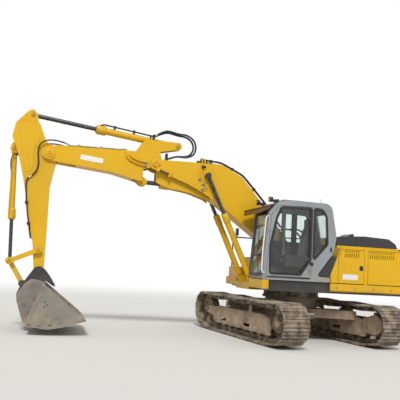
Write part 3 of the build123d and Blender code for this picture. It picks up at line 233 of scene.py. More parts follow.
def workedSteel(node, place, look):
    # Rolled or cast steel that digs and rolls: scoured bright on its edges, rust in patches,
    # dried earth caked in the hollows, so it is matt with a few bright lines.
    grain = node("TexNoise", {"Vector": place, "Scale": 14, "Detail": 5})
    rust = patchy(node, place, look["rustPerMetre"], 6, look["rustFrom"], look["rustFrom"] + 0.22)
    earth = patchy(node, place, look["earthPerMetre"], 7, look["earthFrom"], look["earthFrom"] + 0.16, roughness=0.6)
    rubbed = node("Math", {0: edgeShare(node, 0.006), 1: look["rubbed"]}, operation="MULTIPLY")
    colour = coated(node, look["metal"], ((grain, look["shade"]), (rust, look["rust"]), (earth, look["earth"]),
                                          (rubbed, look["polished"])))
    covered = node("Math", {0: rust, 1: earth}, operation="MAXIMUM")
    # Pits and clods 5 to 15 mm across
    pits = node("TexNoise", {"Vector": place, "Scale": 60, "Detail": 6})
    relief = node("Math", {0: earth, 1: 0.7, 2: pits}, operation="MULTIPLY_ADD")
    return node("BsdfPrincipled", {
        "Base Color": colour,
        "Roughness": node("MapRange", {"Value": covered, "To Min": look["roughness"], "To Max": 0.92}),
        "Metallic": node("MapRange", {"Value": covered, "To Min": look["metallic"], "To Max": 0.0}),
        "Normal": node("Bump", {"Height": relief, "Strength": 0.6, "Distance": 0.008})})


def groundRod(node, place, look):
    # Hard chrome ground round: a mirror with fine rings, dulled by a film of oil and dust; the look's metal colour
    # sets how dark it is, and for the rods that dark colour is painted shade
    film = patchy(node, place, 18, 4, 0.4, 0.8)
    rings = node("TexNoise", {"Vector": place, "Scale": 700, "Detail": 2})
    return node("BsdfPrincipled", {
        "Base Color": coated(node, look["metal"], ((film, look["film"]),)), "Metallic": 1.0,
        "Roughness": node("MapRange", {"Value": film, "To Min": look["roughness"], "To Max": 0.5}),
        "Normal": node("Bump", {"Height": rings, "Strength": 0.05, "Distance": 0.001})})


def safetyGlass(node, place, look):
    # Toughened 6 mm glass with a slight green tint and road dust: clear, with a sharp gloss at low angles
    clear = node("BsdfTransparent", {"Color": linear(look["tint"])})
    gloss = node("BsdfGlossy", {"Color": (0.9, 0.9, 0.9, 1), "Roughness": look["roughness"]})
    # The pane's inner faces take the inverse index, so that both faces reflect alike
    index = node("MapRange", {"Value": node("NewGeometry", out="Backfacing"), "To Min": look["index"],
                              "To Max": 1 / look["index"]})
    pane = node("MixShader", {0: node("Fresnel", {"IOR": index}), 1: clear, 2: gloss})
    dust = patchy(node, place, 5, 5, 0.45, 0.85, look["dustShare"])
    return node("MixShader", {0: dust, 1: pane, 2: node("BsdfDiffuse", {"Color": linear(look["dust"])})})


def mouldedPlastic(node, place, look):
    # ABS and rubber out of a grained mould: dark, a soft sheen, greyer where the sun has dried it
    patch = patchy(node, place, 6, 4, 0.4, 0.75)
    lying = node("Math", {0: facingUp(node, 0.4, 1, look["dustShare"]), 1: patch}, operation="MULTIPLY")
    # The mould's grain is under 1 mm and drawn at 2 mm so that it shows
    grain = node("TexNoise", {"Vector": place, "Scale": 500, "Detail": 2})
    return node("BsdfPrincipled", {
        "Base Color": coated(node, look["colour"], ((patch, look["dried"]), (lying, look["dust"]))),
        "Roughness": node("Math", {0: patch, 1: 0.2, 2: look["roughness"]}, operation="MULTIPLY_ADD"),
        "Normal": node("Bump", {"Height": grain, "Strength": 0.15, "Distance": 0.001})})


def wovenCloth(node, place, look):
    # Woven polyester seat cloth: two crossing bands of threads, 8 mm apart so that they show, and a soft sheen
    across, along = (node("TexWave", {"Vector": place, "Scale": look["bands"]}, out="Fac", bands_direction=way)
                     for way in "YZ")
    weave = node("Math", {0: across, 1: along}, operation="MULTIPLY")
    return node("BsdfPrincipled", {
        "Base Color": coated(node, look["gap"], ((weave, look["thread"]),)), "Roughness": 0.9, "Sheen Weight": 0.3,
        "Normal": node("Bump", {"Height": weave, "Strength": 0.4, "Distance": 0.002})})


yellowLook = {"paint": "#d8a800", "faded": "#cfa212", "dust": "#b79c6a", "stain": "#a87c14", "bare": "#6a5135",
              "patchesPerMetre": 1.1, "dustTop": 1.35, "dustFull": 0.2, "settledDust": 0.3, "streaks": 0.16,
              "chipFrom": 0.5, "edgeWidth": 0.006, "roughness": 0.42, "coat": 0.12, "specular": 0.35}
greyLook = dict(yellowLook, paint="#8e9397", faded="#85898b", stain="#626869", bare="#4c4a45", dustTop=1.7,
                settledDust=0.25)
blackLook = dict(yellowLook, paint="#131518", faded="#1c1e21", stain="#3b3a36", bare="#5c5a55", roughness=0.34,
                 settledDust=0.2, dust="#6f6650", coat=0.4, specular=0.5)
chassisLook = dict(yellowLook, paint="#776959", faded="#877763", stain="#6a4e36", dust="#baa68c", bare="#7a5a3c",
                   dustTop=1.15, dustFull=0.35, settledDust=0.9, roughness=0.7, coat=0.0, streaks=0.5)
bucketLook = {"metal": "#8e8980", "shade": "#77726a", "rust": "#6f5a46", "earth": "#968a77", "polished": "#c8c4bc",
              "rustPerMetre": 4, "rustFrom": 0.55, "earthPerMetre": 3.5, "earthFrom": 0.5, "metallic": 0.35,
              "rubbed": 0.6, "roughness": 0.5}
shoeLook = {"metal": "#696258", "shade": "#4a443c", "rust": "#64513f", "earth": "#9a8b76", "polished": "#a8a196",
            "rustPerMetre": 7, "rustFrom": 0.48, "earthPerMetre": 6, "earthFrom": 0.42, "metallic": 0.25,
            "rubbed": 0.7, "roughness": 0.6}
gearLook = dict(shoeLook, metal="#4a433a", earth="#a08c6e", rubbed=0.3)
boltLook = dict(gearLook, metal="#75706a", earth="#7b6f5b", earthFrom=0.62, metallic=0.6, roughness=0.45)
# The rods' metal colour is dark grey as painted shade and painted dark reflections, not the bright colour of clean
# chrome
rodLookPaintedShade = {"metal": "#55585c", "film": "#3a3630", "roughness": 0.22}
plasticLook = {"colour": "#141517", "dried": "#232323", "dust": "#7a705c", "dustShare": 0.3, "roughness": 0.42}
glassLook = {"tint": "#f6faf9", "dust": "#a9a48f", "dustShare": 0.05, "index": 1.45, "roughness": 0.03}
clothLook = {"gap": "#16171a", "thread": "#34373c", "bands": 40}

yellowPaint = makeFinish("yellow_enamel_sprayed", paintedSteel, yellowLook)
greyPaint = makeFinish("grey_cab_enamel_sprayed", paintedSteel, greyLook)
blackPaint = makeFinish("black_enamel_sprayed", paintedSteel, blackLook)
chassisPaint = makeFinish("chassis_enamel_dusty", paintedSteel, chassisLook)
bucketSteel = makeFinish("bucket_plate_rolled_and_scoured", workedSteel, bucketLook)
shoeSteel = makeFinish("track_shoe_steel_rolled_and_worn", workedSteel, shoeLook)
gearSteel = makeFinish("roller_steel_cast_and_dusty", workedSteel, gearLook)
boltSteel = makeFinish("bolt_steel_zinc_weathered", workedSteel, boltLook)
rodSteelPaintedShade = makeFinish("hard_chrome_ground_painted_shade", groundRod, rodLookPaintedShade)
sideGlass = makeFinish("safety_glass_toughened", safetyGlass, glassLook)
blackPlastic = makeFinish("black_plastic_moulded", mouldedPlastic, plasticLook)
hoseRubber = makeFinish("hose_rubber_extruded", mouldedPlastic,
                        dict(plasticLook, colour="#101112", dried="#1d1d1e", roughness=0.35))
visorPlastic = makeFinish("visor_acrylic_brown", mouldedPlastic,
                          dict(plasticLook, colour="#2b211a", dried="#3a2d22", roughness=0.25))
lipAcrylic = makeFinish("visor_lip_acrylic_smoked", mouldedPlastic,
                        dict(plasticLook, colour="#5c3d1e", dried="#6b4a26", roughness=0.2, dustShare=0.1))
mirrorSilver = makeFinish("mirror_silvered", groundRod, {"metal": "#c9cdd1", "film": "#a9abad", "roughness": 0.08})
plateEnamel = makeFinish("white_plate_enamel", paintedSteel,
                         dict(greyLook, paint="#e4e5e2", faded="#dcdcd6", streaks=0.08))
pipeZinc = makeFinish("pipe_zinc_plated", groundRod, {"metal": "#9b9a92", "film": "#77705f", "roughness": 0.38})
seatCloth = makeFinish("seat_cloth_woven", wovenCloth, clothLook)

nodeFinish = (
    (chassisPaint, "car_body track_frames"), (shoeSteel, "left_track right_track"),
    (gearSteel, "rollers_and_idlers sprockets slew_ring engine_and_radiator"),
    (yellowPaint, "deck_frame skirts counterweight side_panels left_front_door left_rear_door right_door"),
    (yellowPaint, "right_side_tanks base_boom front_boom arm idler_links connecting_links"),
    (yellowPaint, "boom_cylinder_barrel fold_cylinder_barrel arm_cylinder_barrel bucket_cylinder_barrel"),
    (rodSteelPaintedShade, "boom_cylinder_rod fold_cylinder_rod arm_cylinder_rod bucket_cylinder_rod"),
    (blackPaint, "side_decks engine_hood exhaust handrails hitch"), (bucketSteel, "bucket"),
    (greyPaint, "cab_shell cab_door"), (sideGlass, "cab_windows door_glass"), (visorPlastic, "cab_visor"),
    (blackPlastic, "seat_and_controls work_lamps boom_lines mirrors"), (pipeZinc, "front_boom_lines"),
)
for material, names in nodeFinish:
    for name in names.split():
        for place in nodes[name].material_slots:
            place.material = material
print("stage 3: finishes on the nodes")


# Shapes: every piece is one or more profiles carried along a path, kept as arrays of copies x rings x around x 3

sides = (("left", 1), ("right", -1))
# A drawing's origin, across, upward and outward
leftSide = ((0, 0, 0), (1, 0, 0), (0, 0, 1), (0, 1, 0))
rightSide = ((0, 0, 0), (1, 0, 0), (0, 0, 1), (0, -1, 0))


def makePiece(name, shells, body, material, closed=False, sharpFrom=38):
    # Quads join each ring to the next one; a path that isn't closed ends in flat faces
    points, faces, start = [], [], 0
    for shell in shells:
        shell = np.asarray(shell, float)
        shell = shell[None] if shell.ndim == 3 else shell
        copies, rings, around, _ = shell.shape
        index = start + np.arange(copies * rings * around).reshape(copies, rings, around)
        beside = np.roll(index, -1, axis=2)
        if closed:
            quads = np.stack([index, beside, np.roll(beside, -1, axis=1), np.roll(index, -1, axis=1)], -1)
        else:
            quads = np.stack([index[:, :-1], beside[:, :-1], beside[:, 1:], index[:, 1:]], -1)
            faces += index[:, 0, ::-1].tolist() + index[:, -1].tolist()
        faces += quads.reshape(-1, 4).tolist()
        points.append(shell.reshape(-1, 3))
        start += index.size
    mesh = bpy.data.meshes.new(name)
    mesh.from_pydata(np.concatenate(points).tolist(), [], faces)
    form = bmesh.new()
    form.from_mesh(mesh)
    bmesh.ops.recalc_face_normals(form, faces=form.faces)
    form.to_mesh(mesh)
    form.free()
    mesh.shade_smooth()
    mesh.set_sharp_from_angle(angle=math.radians(sharpFrom))
    mesh.materials.append(material)
    piece = bpy.data.objects.new(name, mesh)
    bpy.context.scene.collection.objects.link(piece)
    if body:
        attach(piece, body)
    return piece


def turned(rows, centres, axis, around=20):
    # A turned shape: centre + along * axis + radius * (cos a * side + sin a * up), rows of along and radius
    axis = np.asarray(axis, float) / np.linalg.norm(axis)
    side = np.cross(axis, (1, 0, 0) if abs(axis[0]) < 0.9 else (0, 1, 0))
    side /= np.linalg.norm(side)
    rows = np.asarray(rows, float)
    section = circle(around) @ np.stack([side, np.cross(axis, side)])
    rings = rows[:, 0, None, None] * axis + rows[:, 1, None, None] * section
    return np.asarray(centres, float).reshape(-1, 1, 1, 3) + rings


def tube(line, radius, around=12):
    # point + radius * (cos a * side + sin a * up), with side and up square to the line's own direction
    line = np.asarray(line, float)
    ahead = np.gradient(line, axis=0)
    ahead /= np.linalg.norm(ahead, axis=1)[:, None]
    least = np.eye(3)[np.abs(ahead).sum(0).argmin()]
    side = np.cross(ahead, least)
    side /= np.linalg.norm(side, axis=1)[:, None]
    section = circle(around) @ np.stack([side, np.cross(side, ahead)], 1)
    return line[:, None] + np.broadcast_to(radius, len(line))[:, None, None] * section


def drawnIn(outline, amount):
    # Each point moves inward along its mitre, (n1 + n2) / (1 + n1 . n2), for the two edges' inward normals
    edges = np.roll(outline, -1, axis=0) - outline
    edges /= np.linalg.norm(edges, axis=1)[:, None]
    inward = np.column_stack([-edges[:, 1], edges[:, 0]])
    before = np.roll(inward, 1, axis=0)
    return outline + amount * (before + inward) / (1 + (before * inward).sum(1))[:, None]


def anticlockwise(outline):
    outline = np.asarray(outline, float)
    after = np.roll(outline, -1, axis=0)
    area = (outline[:, 0] * after[:, 1] - after[:, 0] * outline[:, 1]).sum()
    return outline if area > 0 else outline[::-1]


def roundedLoop(corners, steps=6):
    # A corner of radius r is the curve (1-t)^2 a + 2t(1-t) c + t^2 b, with a and b at r / tan(half the angle) from c
    corners = np.asarray(corners, float)
    place, radius = corners[:, :2], np.maximum(corners[:, 2], 0.003)
    back = np.roll(place, 1, axis=0) - place
    forth = np.roll(place, -1, axis=0) - place
    back /= np.linalg.norm(back, axis=1)[:, None]
    forth /= np.linalg.norm(forth, axis=1)[:, None]
    half = np.arccos(np.clip((back * forth).sum(1), -1, 1)) / 2
    cut = (radius / np.tan(half))[:, None]
    t = np.linspace(0, 1, steps)[None, :, None]
    start, end = (place + back * cut)[:, None], (place + forth * cut)[:, None]
    return anticlockwise(((1 - t) ** 2 * start + 2 * t * (1 - t) * place[:, None] + t ** 2 * end).reshape(-1, 2))


def lifted(flat, height, view):
    # Flat drawing to space: origin + u * across + v * upward + height * outward
    origin, across, upward, outward = (np.asarray(part, float) for part in view)
    return origin + flat[..., :1] * across + flat[..., 1:] * upward + height * outward


def slab(outline, low, high, view, chamfer=0.003):
    # A plate between two heights above its drawing, its edges drawn in by a chamfer
    outline = anticlockwise(outline)
    rings = ((low, chamfer), (low + chamfer, 0), (high - chamfer, 0), (high, chamfer))
    return np.stack([lifted(drawnIn(outline, inset), height, view) for height, inset in rings])


def band(outline, outside, inside, low, high, view):
    # A flat ring along a closed outline: four loops, closed round their section
    outline = anticlockwise(outline)
    rings = ((low, -outside), (high, -outside + 0.002), (high, inside - 0.002), (low, inside))
    return np.stack([lifted(drawnIn(outline, inset), height, view) for height, inset in rings])


def rectangle(x0, x1, z0, z1, radius=0.006):
    return roundedLoop(((x0, z0, radius), (x1, z0, radius), (x1, z1, radius), (x0, z1, radius)), 4)


def leaning(x, y, z, slope, side=1):
    # A drawing's view whose across climbs by slope: (cos a, 0, sin a), with upward (-sin a, 0, cos a)
    turn = math.radians(slope)
    return (x, y, z), (math.cos(turn), 0, math.sin(turn)), (-math.sin(turn), 0, math.cos(turn)), (0, side, 0)


def routeLine(name, points):
    # The line of a smooth spline with the route's points as its control points
    curve = bpy.data.curves.new(name + "_route", "CURVE")
    curve.dimensions = "3D"
    curve.resolution_u = 10
    spline = curve.splines.new("NURBS")
    spline.points.add(len(points) - 1)
    spline.points.foreach_set("co", np.column_stack([points, np.ones(len(points))]).ravel())
    spline.order_u = 3
    spline.use_endpoint_u = True
    holder = bpy.data.objects.new(name + "_route", curve)
    mesh = bpy.data.meshes.new_from_object(holder)
    line = np.empty(len(mesh.vertices) * 3)
    mesh.vertices.foreach_get("co", line)
    bpy.data.objects.remove(holder)
    bpy.data.curves.remove(curve)
    bpy.data.meshes.remove(mesh)
    return line.reshape(-1, 3)


# Hoses over the moving joints: rubber, wire braided, crimped.  Rows in millimetres.

hoses = [
    # name, bodies, diameter, ends that carry a ferrule, route
    ("arm_hose_inner", ("arm_cylinder_barrel", "front_boom"), 44, ("start",), (
        (3507, 50, 4430), (3400, 62, 4486), (3251, 88, 4545), (3130, 108, 4530),
        (3048, 122, 4508))),
    ("arm_hose_outer", ("arm_cylinder_barrel", "front_boom"), 44, ("start",), (
        (3507, 98, 4430), (3400, 116, 4506), (3251, 140, 4578), (3130, 158, 4562),
        (3048, 170, 4540))),
    ("fold_hose_inner", ("front_boom", "base_boom"), 44, ("end",), (
        (3048, 122, 4508), (2966, 136, 4486), (2790, 150, 4478), (2648, 158, 4380),
        (2598, 160, 4230), (2650, 160, 4080), (2790, 160, 4010), (2930, 160, 4008),
        (3050, 160, 3985), (3150, 160, 3935), (3250, 160, 3911))),
    ("fold_hose_outer", ("front_boom", "base_boom"), 44, ("end",), (
        (3048, 170, 4540), (2966, 182, 4518), (2770, 196, 4516), (2600, 206, 4400),
        (2548, 208, 4220), (2606, 208, 4050), (2780, 208, 3984), (2930, 208, 3996),
        (3050, 208, 3980), (3150, 208, 3935), (3250, 206, 3911))),
]
footRoute = ((-330, 2050), (-330, 2200), (-290, 2370), (-140, 2510), (50, 2550), (200, 2520), (310, 2530),
             (420, 2594))
for number, y in enumerate((-195, -150, 150, 195), 1):
    hoses.append((f"foot_hose_{number}", ("upper_body", "base_boom"), 30, ("start", "end"),
                  [(x, y, z) for x, z in footRoute]))
for number, y in enumerate((118, -118), 1):
    hoses.append((f"bucket_hose_{number}", ("arm", "bucket_cylinder_barrel"), 24, ("start", "end"), (
        (6250, y, 3560), (6300, y, 3640), (6400, y, 3750), (6520, y, 3740), (6590, y, 3610), (6580, 0.8 * y, 3450),
        (6558, 0.63 * y, 3330))))
for name, side in sides:
    hoses.append((f"arm_head_hose_{name}", ("front_boom", "arm"), 32, ("start", "end"), [
        (x, side * y, z) for x, y, z in (
            (5420, 182, 4038), (5560, 205, 4072), (5740, 230, 4090), (5900, 232, 4066), (6020, 226, 3970),
            (6046, 214, 3800), (6012, 205, 3630), (6014, 198, 3450), (6085, 190, 3310), (6185, 188, 3235))]))
for name, bodies, diameter, crimped, route in hoses:
    line, diameter = routeLine(name, np.array(route) / 1000), diameter / 1000
    radius = diameter / 2
    piece = makePiece(name, [tube(line, radius)], None, hoseRubber)
    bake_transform(piece)
    length = float(np.linalg.norm(np.diff(line, axis=0), axis=1).sum())
    # Crimped ferrules: a sleeve a little wider than the hose, with a hexagon's width behind it
    sleeve = ((-0.012, radius * 0.9), (-0.012, radius * 1.25), (0.008, radius * 1.25), (0.01, radius * 1.18),
              (0.062, radius * 1.18), (0.07, radius * 1.06))
    for end, body, (place, towards) in zip(("start", "end"), bodies, (line[:2], line[:-3:-1])):
        if end in crimped:
            makePiece(f"{name}_{end}_ferrule", [turned(sleeve, place, towards - place, 12)], body, pipeZinc)
print("stage 4: hoses")


# Steel pipes, clamps and fittings on the booms.  The pipes' rows are in millimetres.

pipes = (
    # name, body, finish, radius, routes
    ("arm_cylinder_pipes", "arm_cylinder_barrel", hoseRubber, 18, (
        ((4745, 50, 4545), (4700, 50, 4590), (4539, 50, 4567), (3856, 50, 4478),
         (3507, 50, 4430)),
        ((3600, 60, 4392), (3606, 92, 4424), (3570, 98, 4440), (3507, 98, 4430)))),
    ("boom_side_pipes", "base_boom", yellowPaint, 15, (
        ((2420, 195, 3985), (2405, 250, 3975), (2385, 268, 3900), (2420, 268, 3700),
         (2437, 268, 3530)),
        ((2400, 150, 3985), (2345, 240, 4005), (2334, 268, 3903), (2338, 268, 3700),
         (2348, 268, 3425)))),
    ("boom_side_pipes_right", "base_boom", yellowPaint, 15, (
        ((2420, -195, 3985), (2405, -250, 3975), (2385, -268, 3900), (2420, -268, 3700),
         (2437, -268, 3530)),)),
    ("fold_side_pipes", "front_boom", yellowPaint, 17, (
        ((4130, 182, 4046), (4150, 240, 4020), (4130, 250, 3860), (3980, 250, 3775),
         (3760, 250, 3715), (3690, 250, 3712)),
        ((4060, 215, 3930), (4040, 250, 3900), (3960, 250, 3850), (3780, 250, 3800),
         (3690, 250, 3790)))),
    ("fold_side_rod", "base_boom", rodSteelPaintedShade, 22, (
        ((3420, 262, 3655), (3340, 262, 3627), (3250, 262, 3596), (3150, 262, 3560)),)),
    ("bucket_cylinder_pipes", "bucket_cylinder_barrel", yellowPaint, 13, (
        ((6558, 74, 3330), (6556, 74, 3200), (6550, 80, 2950), (6545, 92, 2600),
         (6535, 80, 2440), (6510, 50, 2420)),
        ((6558, -74, 3330), (6556, -74, 3260), (6550, -66, 3190), (6530, -50, 3150)))),
    ("arm_edge_pipes", "arm", hoseRubber, 16, tuple(
        ((6185, side * 188, 3235), (6225, side * 186, 3190), (6232, side * 184, 3060),
         (6205, side * 182, 2800), (6163, side * 182, 2532), (6086, side * 182, 2110),
         (6050, side * 182, 1960)) for side in (1, -1))),
)
for name, body, material, radius, routes in pipes:
    lines = [routeLine(name, np.array(route) / 1000) for route in routes]
    makePiece(name, [tube(line, radius / 1000, 10) for line in lines], body, material)
lugView = ((3.14, 0, 3.556), (0.943, 0, 0.333), (-0.333, 0, 0.943), (0, 1, 0))
lugs = (((-0.026, 0.026, -0.062, 0.062, 0.012), 0.292), ((0.25, 0.33, -0.045, 0.045, 0.014), 0.29))
makePiece("fold_side_lugs", [slab(rectangle(*edges), 0.222, high, lugView, 0.004) for edges, high in lugs],
          "base_boom", yellowPaint)

# A raised plate on both cheeks of the arm's head
armHead = [(x / 1000, z / 1000, 0.02) for x, z in (
    (6457, 4407), (6190, 4453), (6134, 4410), (6015, 4114), (6057, 3977), (6110, 3862), (6130, 3728), (6095, 3557),
    (6153, 3377), (6255, 3346), (6308, 3493), (6366, 3814), (6424, 4136))]
makePiece("arm_head_plates", [slab(roundedLoop(armHead, 5), 0.16, 0.172, view) for view in (leftSide, rightSide)],
          "arm", yellowPaint)

# Clamps: blocks across two lines, with a bolt on top
clamps = (
    # name, body, x, z, slope, half width, y from, y to, low, high
    ("loop_clamp", "base_boom", 3.228, 4.004, -1, 0.026, 0.13, 0.238, -0.12, 0.034),
    ("loop_clamp_rear", "base_boom", 2.33, 3.96, -35, 0.026, 0.13, 0.238, -0.06, 0.034),
    ("pipe_clamp_front", "arm_cylinder_barrel", 4.42, 4.553, 7, 0.026, 0.024, 0.076, -0.052, 0.022),
    ("pipe_clamp_middle", "arm_cylinder_barrel", 3.98, 4.5, 7, 0.026, 0.024, 0.076, -0.052, 0.022),
    ("pipe_clamp_rear", "arm_cylinder_barrel", 3.52, 4.444, 7, 0.026, 0.024, 0.132, -0.056, 0.024),
    ("side_clamp_upper", "base_boom", 2.362, 3.8, 0, 0.052, 0.243, 0.292, -0.026, 0.026),
    ("arm_clamp_upper", "arm", 6.19, 2.7, 9, 0.034, 0.163, 0.204, -0.028, 0.028),
    ("arm_clamp_lower", "arm", 6.114, 2.25, 10, 0.034, 0.163, 0.204, -0.028, 0.028),
    ("arm_clamp_upper_right", "arm", 6.19, 2.7, 9, 0.034, -0.204, -0.163, -0.028, 0.028),
    ("arm_clamp_lower_right", "arm", 6.114, 2.25, 10, 0.034, -0.204, -0.163, -0.028, 0.028),
)
for name, body, x, z, slope, wide, near, far, low, high in clamps:
    block = slab(rectangle(-wide, wide, low, high, 0.012), near, far, leaning(x, 0, z, slope), 0.004)
    top = (x, (near + far) / 2, z + high)
    makePiece(name, [block], body, blackPlastic)
    makePiece(name + "_bolt", [turned(((-0.002, 0.01), (0.01, 0.01), (0.012, 0.008)), top, (0, 0, 1), 6)], body,
              boltSteel)

# Valve and hose fittings: hexagons on short stems
fittings = (
    # name, body, axis, radius, length, centres
    ("boom_side_valves", "base_boom", (0, 1, 0), 0.034, 0.045,
     ((2.436, 0.245, 3.521), (2.348, 0.245, 3.413), (2.362, 0.245, 3.296))),
    ("fold_side_unions", "front_boom", (0, 1, 0), 0.036, 0.054, ((3.69, 0.212, 3.712), (3.69, 0.212, 3.79))),
    ("arm_side_unions_left", "arm", (0, 1, 0), 0.026, 0.038, (6.05, 0.16, 1.96)),
    ("arm_side_unions_right", "arm", (0, -1, 0), 0.026, 0.038, (6.05, -0.16, 1.96)),
)
for name, body, axis, radius, length, centres in fittings:
    hexagon = ((-0.004, radius * 0.9), (0, radius), (length * 0.6, radius), (length * 0.66, radius * 0.86))
    stem = ((length * 0.6, radius * 0.6), (length, radius * 0.6), (length + 0.004, radius * 0.5))
    makePiece(name, [turned(hexagon, centres, axis, 6), turned(stem, centres, axis, 12)], body, pipeZinc)
print("stage 5: pipes, clamps and fittings")


# Pins: a cap with a shallow groove, a grease nipple and three bolts at each end of a pivot

pivots = (
    # name, body, x, z, half width where the cap sits, radius, finish
    ("boom_foot_caps", "upper_body", 0.15, 1.9, 0.314, 0.058, yellowPaint),
    ("boom_cylinder_caps", "boom_cylinder_rod", 2.256, 3.609, 0.374, 0.05, blackPaint),
    ("boom_cylinder_foot_caps", "upper_body", 1.15, 1.33, 0.406, 0.044, yellowPaint),
    ("fold_pin_caps", "base_boom", 3.46, 3.807, 0.267, 0.082, yellowPaint),
    ("fold_cylinder_foot_caps", "base_boom", 2.299, 3.324, 0.25, 0.05, yellowPaint),
    ("arm_pin_caps", "front_boom", 5.804, 3.788, 0.235, 0.088, yellowPaint),
    ("arm_cylinder_foot_caps", "front_boom", 2.956, 4.248, 0.137, 0.046, yellowPaint),
    ("arm_cylinder_eye_caps", "arm", 6.203, 4.639, 0.116, 0.046, yellowPaint),
    ("bucket_cylinder_foot_caps", "arm", 6.538, 3.853, 0.104, 0.044, yellowPaint),
    ("idler_pin_caps", "arm", 5.865, 1.701, 0.248, 0.046, yellowPaint),
    ("rod_link_pin_caps", "idler_links", 6.438, 1.443, 0.244, 0.05, yellowPaint),
    ("hitch_link_pin_caps", "hitch_and_bucket", 6.148, 0.98, 0.206, 0.046, blackPaint),
    ("bucket_pivot_caps", "hitch_and_bucket", 5.811, 1.247, 0.204, 0.056, blackPaint),
    ("upper_hook_pin_caps", "hitch_and_bucket", 5.918, 0.994, 0.248, 0.05, bucketSteel),
    ("lower_hook_pin_caps", "hitch_and_bucket", 6.074, 0.565, 0.248, 0.05, bucketSteel),
)
nipple = ((0.01, 0.009), (0.022, 0.009), (0.024, 0.005), (0.032, 0.005), (0.034, 0.003))
heads = ((0.008, 0.011), (0.018, 0.011), (0.02, 0.009))
for name, body, x, z, half, radius, material in pivots:
    disc = [(along, radius * share) for along, share in (
        (-0.004, 0.98), (0, 1), (0.009, 1), (0.012, 0.94), (0.012, 0.5), (0.009, 0.46), (0.009, 0.3), (0.013, 0.26))]
    shells, bolts = [], []
    for side in (1, -1):
        centre, axis = (x, side * half, z), (0, side, 0)
        ring = np.insert(circle(3, 0.7 * radius, 90), 1, 0, 1) + centre
        shells.append(turned(disc, centre, axis, 28))
        bolts += [turned(heads, ring, axis, 6), turned(nipple, centre, axis, 10)]
    makePiece(name, shells, body, material)
    makePiece(name + "_bolts", bolts, body, boltSteel)

# Weld beads 14 mm thick round the bosses
welds = (
    # body, then x, z, half width of the plate and radius of each boss
    ("base_boom", ((3.46, 3.807, 0.245, 0.105), (2.256, 3.609, 0.245, 0.07), (2.299, 3.324, 0.245, 0.07))),
    ("front_boom", ((5.804, 3.788, 0.215, 0.128),)), ("arm", ((5.865, 1.701, 0.165, 0.07),)),
)
for body, bosses in welds:
    beads = [turned(circle(8, 0.007)[:, ::-1] + (0, radius + 0.001), (x, side * half, z), (0, side, 0), 40)[0]
             for x, z, half, radius in bosses for side in (1, -1)]
    makePiece(body + "_weld_beads", beads, body, yellowPaint, closed=True, sharpFrom=80)
print("stage 6: pins and welds")


# Cylinder glands: a collar with two lands, a ring of bolts and the wiper seal round the rod

glands = (
    # name, barrel's body, its foot, its direction, where it ends, its radius, the collar's height, places across
    ("boom_cylinder_glands", "boom_cylinder_barrel", (1.15, 1.33), (0.4366, 0.89965), 1.594, 0.076, 0.003,
     (0.332, -0.332)),
    ("fold_cylinder_gland", "fold_cylinder_barrel", (2.299, 3.324), (0.99946, 0.03282), 1.02, 0.103, 0.012, (0,)),
    ("arm_cylinder_gland", "arm_cylinder_barrel", (2.956, 4.248), (0.99283, 0.11956), 1.89, 0.086, 0.022, (0,)),
    ("bucket_cylinder_gland", "bucket_cylinder_barrel", (6.538, 3.853), (-0.04146, -0.99914), 1.526, 0.066, 0.014,
     (0,)),
)
for name, body, foot, ahead, reach, radius, height, places in glands:
    axis = (ahead[0], 0, ahead[1])
    inner, wide = radius - 0.004, radius + height
    rows = ((-0.23, inner), (-0.224, wide - 0.004), (-0.218, wide), (-0.15, wide), (-0.146, wide - 0.004),
            (-0.14, wide - 0.004), (-0.136, wide), (-0.02, wide), (-0.014, wide - 0.003), (-0.012, inner))
    collar, bolts, wiper = [], [], []
    for y in places:
        end = np.array([foot[0] + ahead[0] * reach, y, foot[1] + ahead[1] * reach])
        ring = end + circle(8, 0.84 * radius, 22.5) @ np.array([np.cross(axis, (0, 1, 0)), (0, 1, 0)])
        collar.append(turned(rows, end, axis, 32))
        bolts.append(turned(((-0.002, 0.009), (0.008, 0.009), (0.01, 0.007)), ring, axis, 6))
        wiper.append(turned(((-0.002, radius * 0.72), (0.004, radius * 0.72), (0.006, radius * 0.66)), end, axis, 24))
    makePiece(name, collar, body, yellowPaint)
    makePiece(name + "_bolts", bolts, body, boltSteel)
    makePiece(name + "_seal", wiper, body, blackPlastic)
print("stage 7: cylinder glands")


# Tracks: link plates with their pins on both rails, and two rows of bolts on every shoe

trackLook = {"heading": -81.4, "gauge": 2.39, "tumblers": 3.7, "tumblerHeight": 0.49, "wrap": 0.43,
             "ground": 2.8, "top": 0.92, "sag": 0.028, "carriers": (-0.56, 0.64), "shoes": 50,
             "pinDepth": 0.095, "railFace": 0.086, "plateDepth": 0.026, "boltRows": (-0.2, -0.075, 0.075, 0.2),
             "boltRadius": 0.015, "boltHeight": 0.013, "boltShares": (0.32, 0.68)}


def trackLoop(depth, steps=16):
    # The run round both tumblers, depth inside the grousers' tips: flat, arc, sagging top run, arc
    look = trackLook
    middle, high, wrap = look["tumblers"] / 2, look["tumblerHeight"], look["wrap"]
    reach = middle - look["ground"] / 2
    span = math.hypot(reach, high)
    slope = math.atan2(high, reach) - math.atan2(wrap, math.sqrt(span ** 2 - wrap ** 2))
    flat = look["ground"] / 2 - depth * (1 - math.cos(slope)) / math.sin(slope)
    rear, front = look["carriers"]
    hang = math.atan2(look["sag"], (middle - front) / 2)
    start = slope - math.pi / 2
    step = (math.pi / 2 + hang - start) / steps
    angles = start + step * (np.arange(steps) + 0.5)
    radius = (wrap - depth) / math.cos(step / 2)
    arc = (middle, high) + radius * np.column_stack([np.cos(angles), np.sin(angles)])
    level = look["top"] - depth
    hung = [high + (wrap - depth - (middle - abs(x)) * math.sin(hang)) / math.cos(hang)
            for x in ((middle + front) / 2, (rear - middle) / 2)]
    top = np.array([((middle + front) / 2, hung[0]), (front, level), ((front + rear) / 2, level - look["sag"]),
                    (rear, level), ((rear - middle) / 2, hung[1])])
    return np.vstack([[(-flat, depth), (flat, depth)], arc, top, arc[::-1] * (-1, 1)])


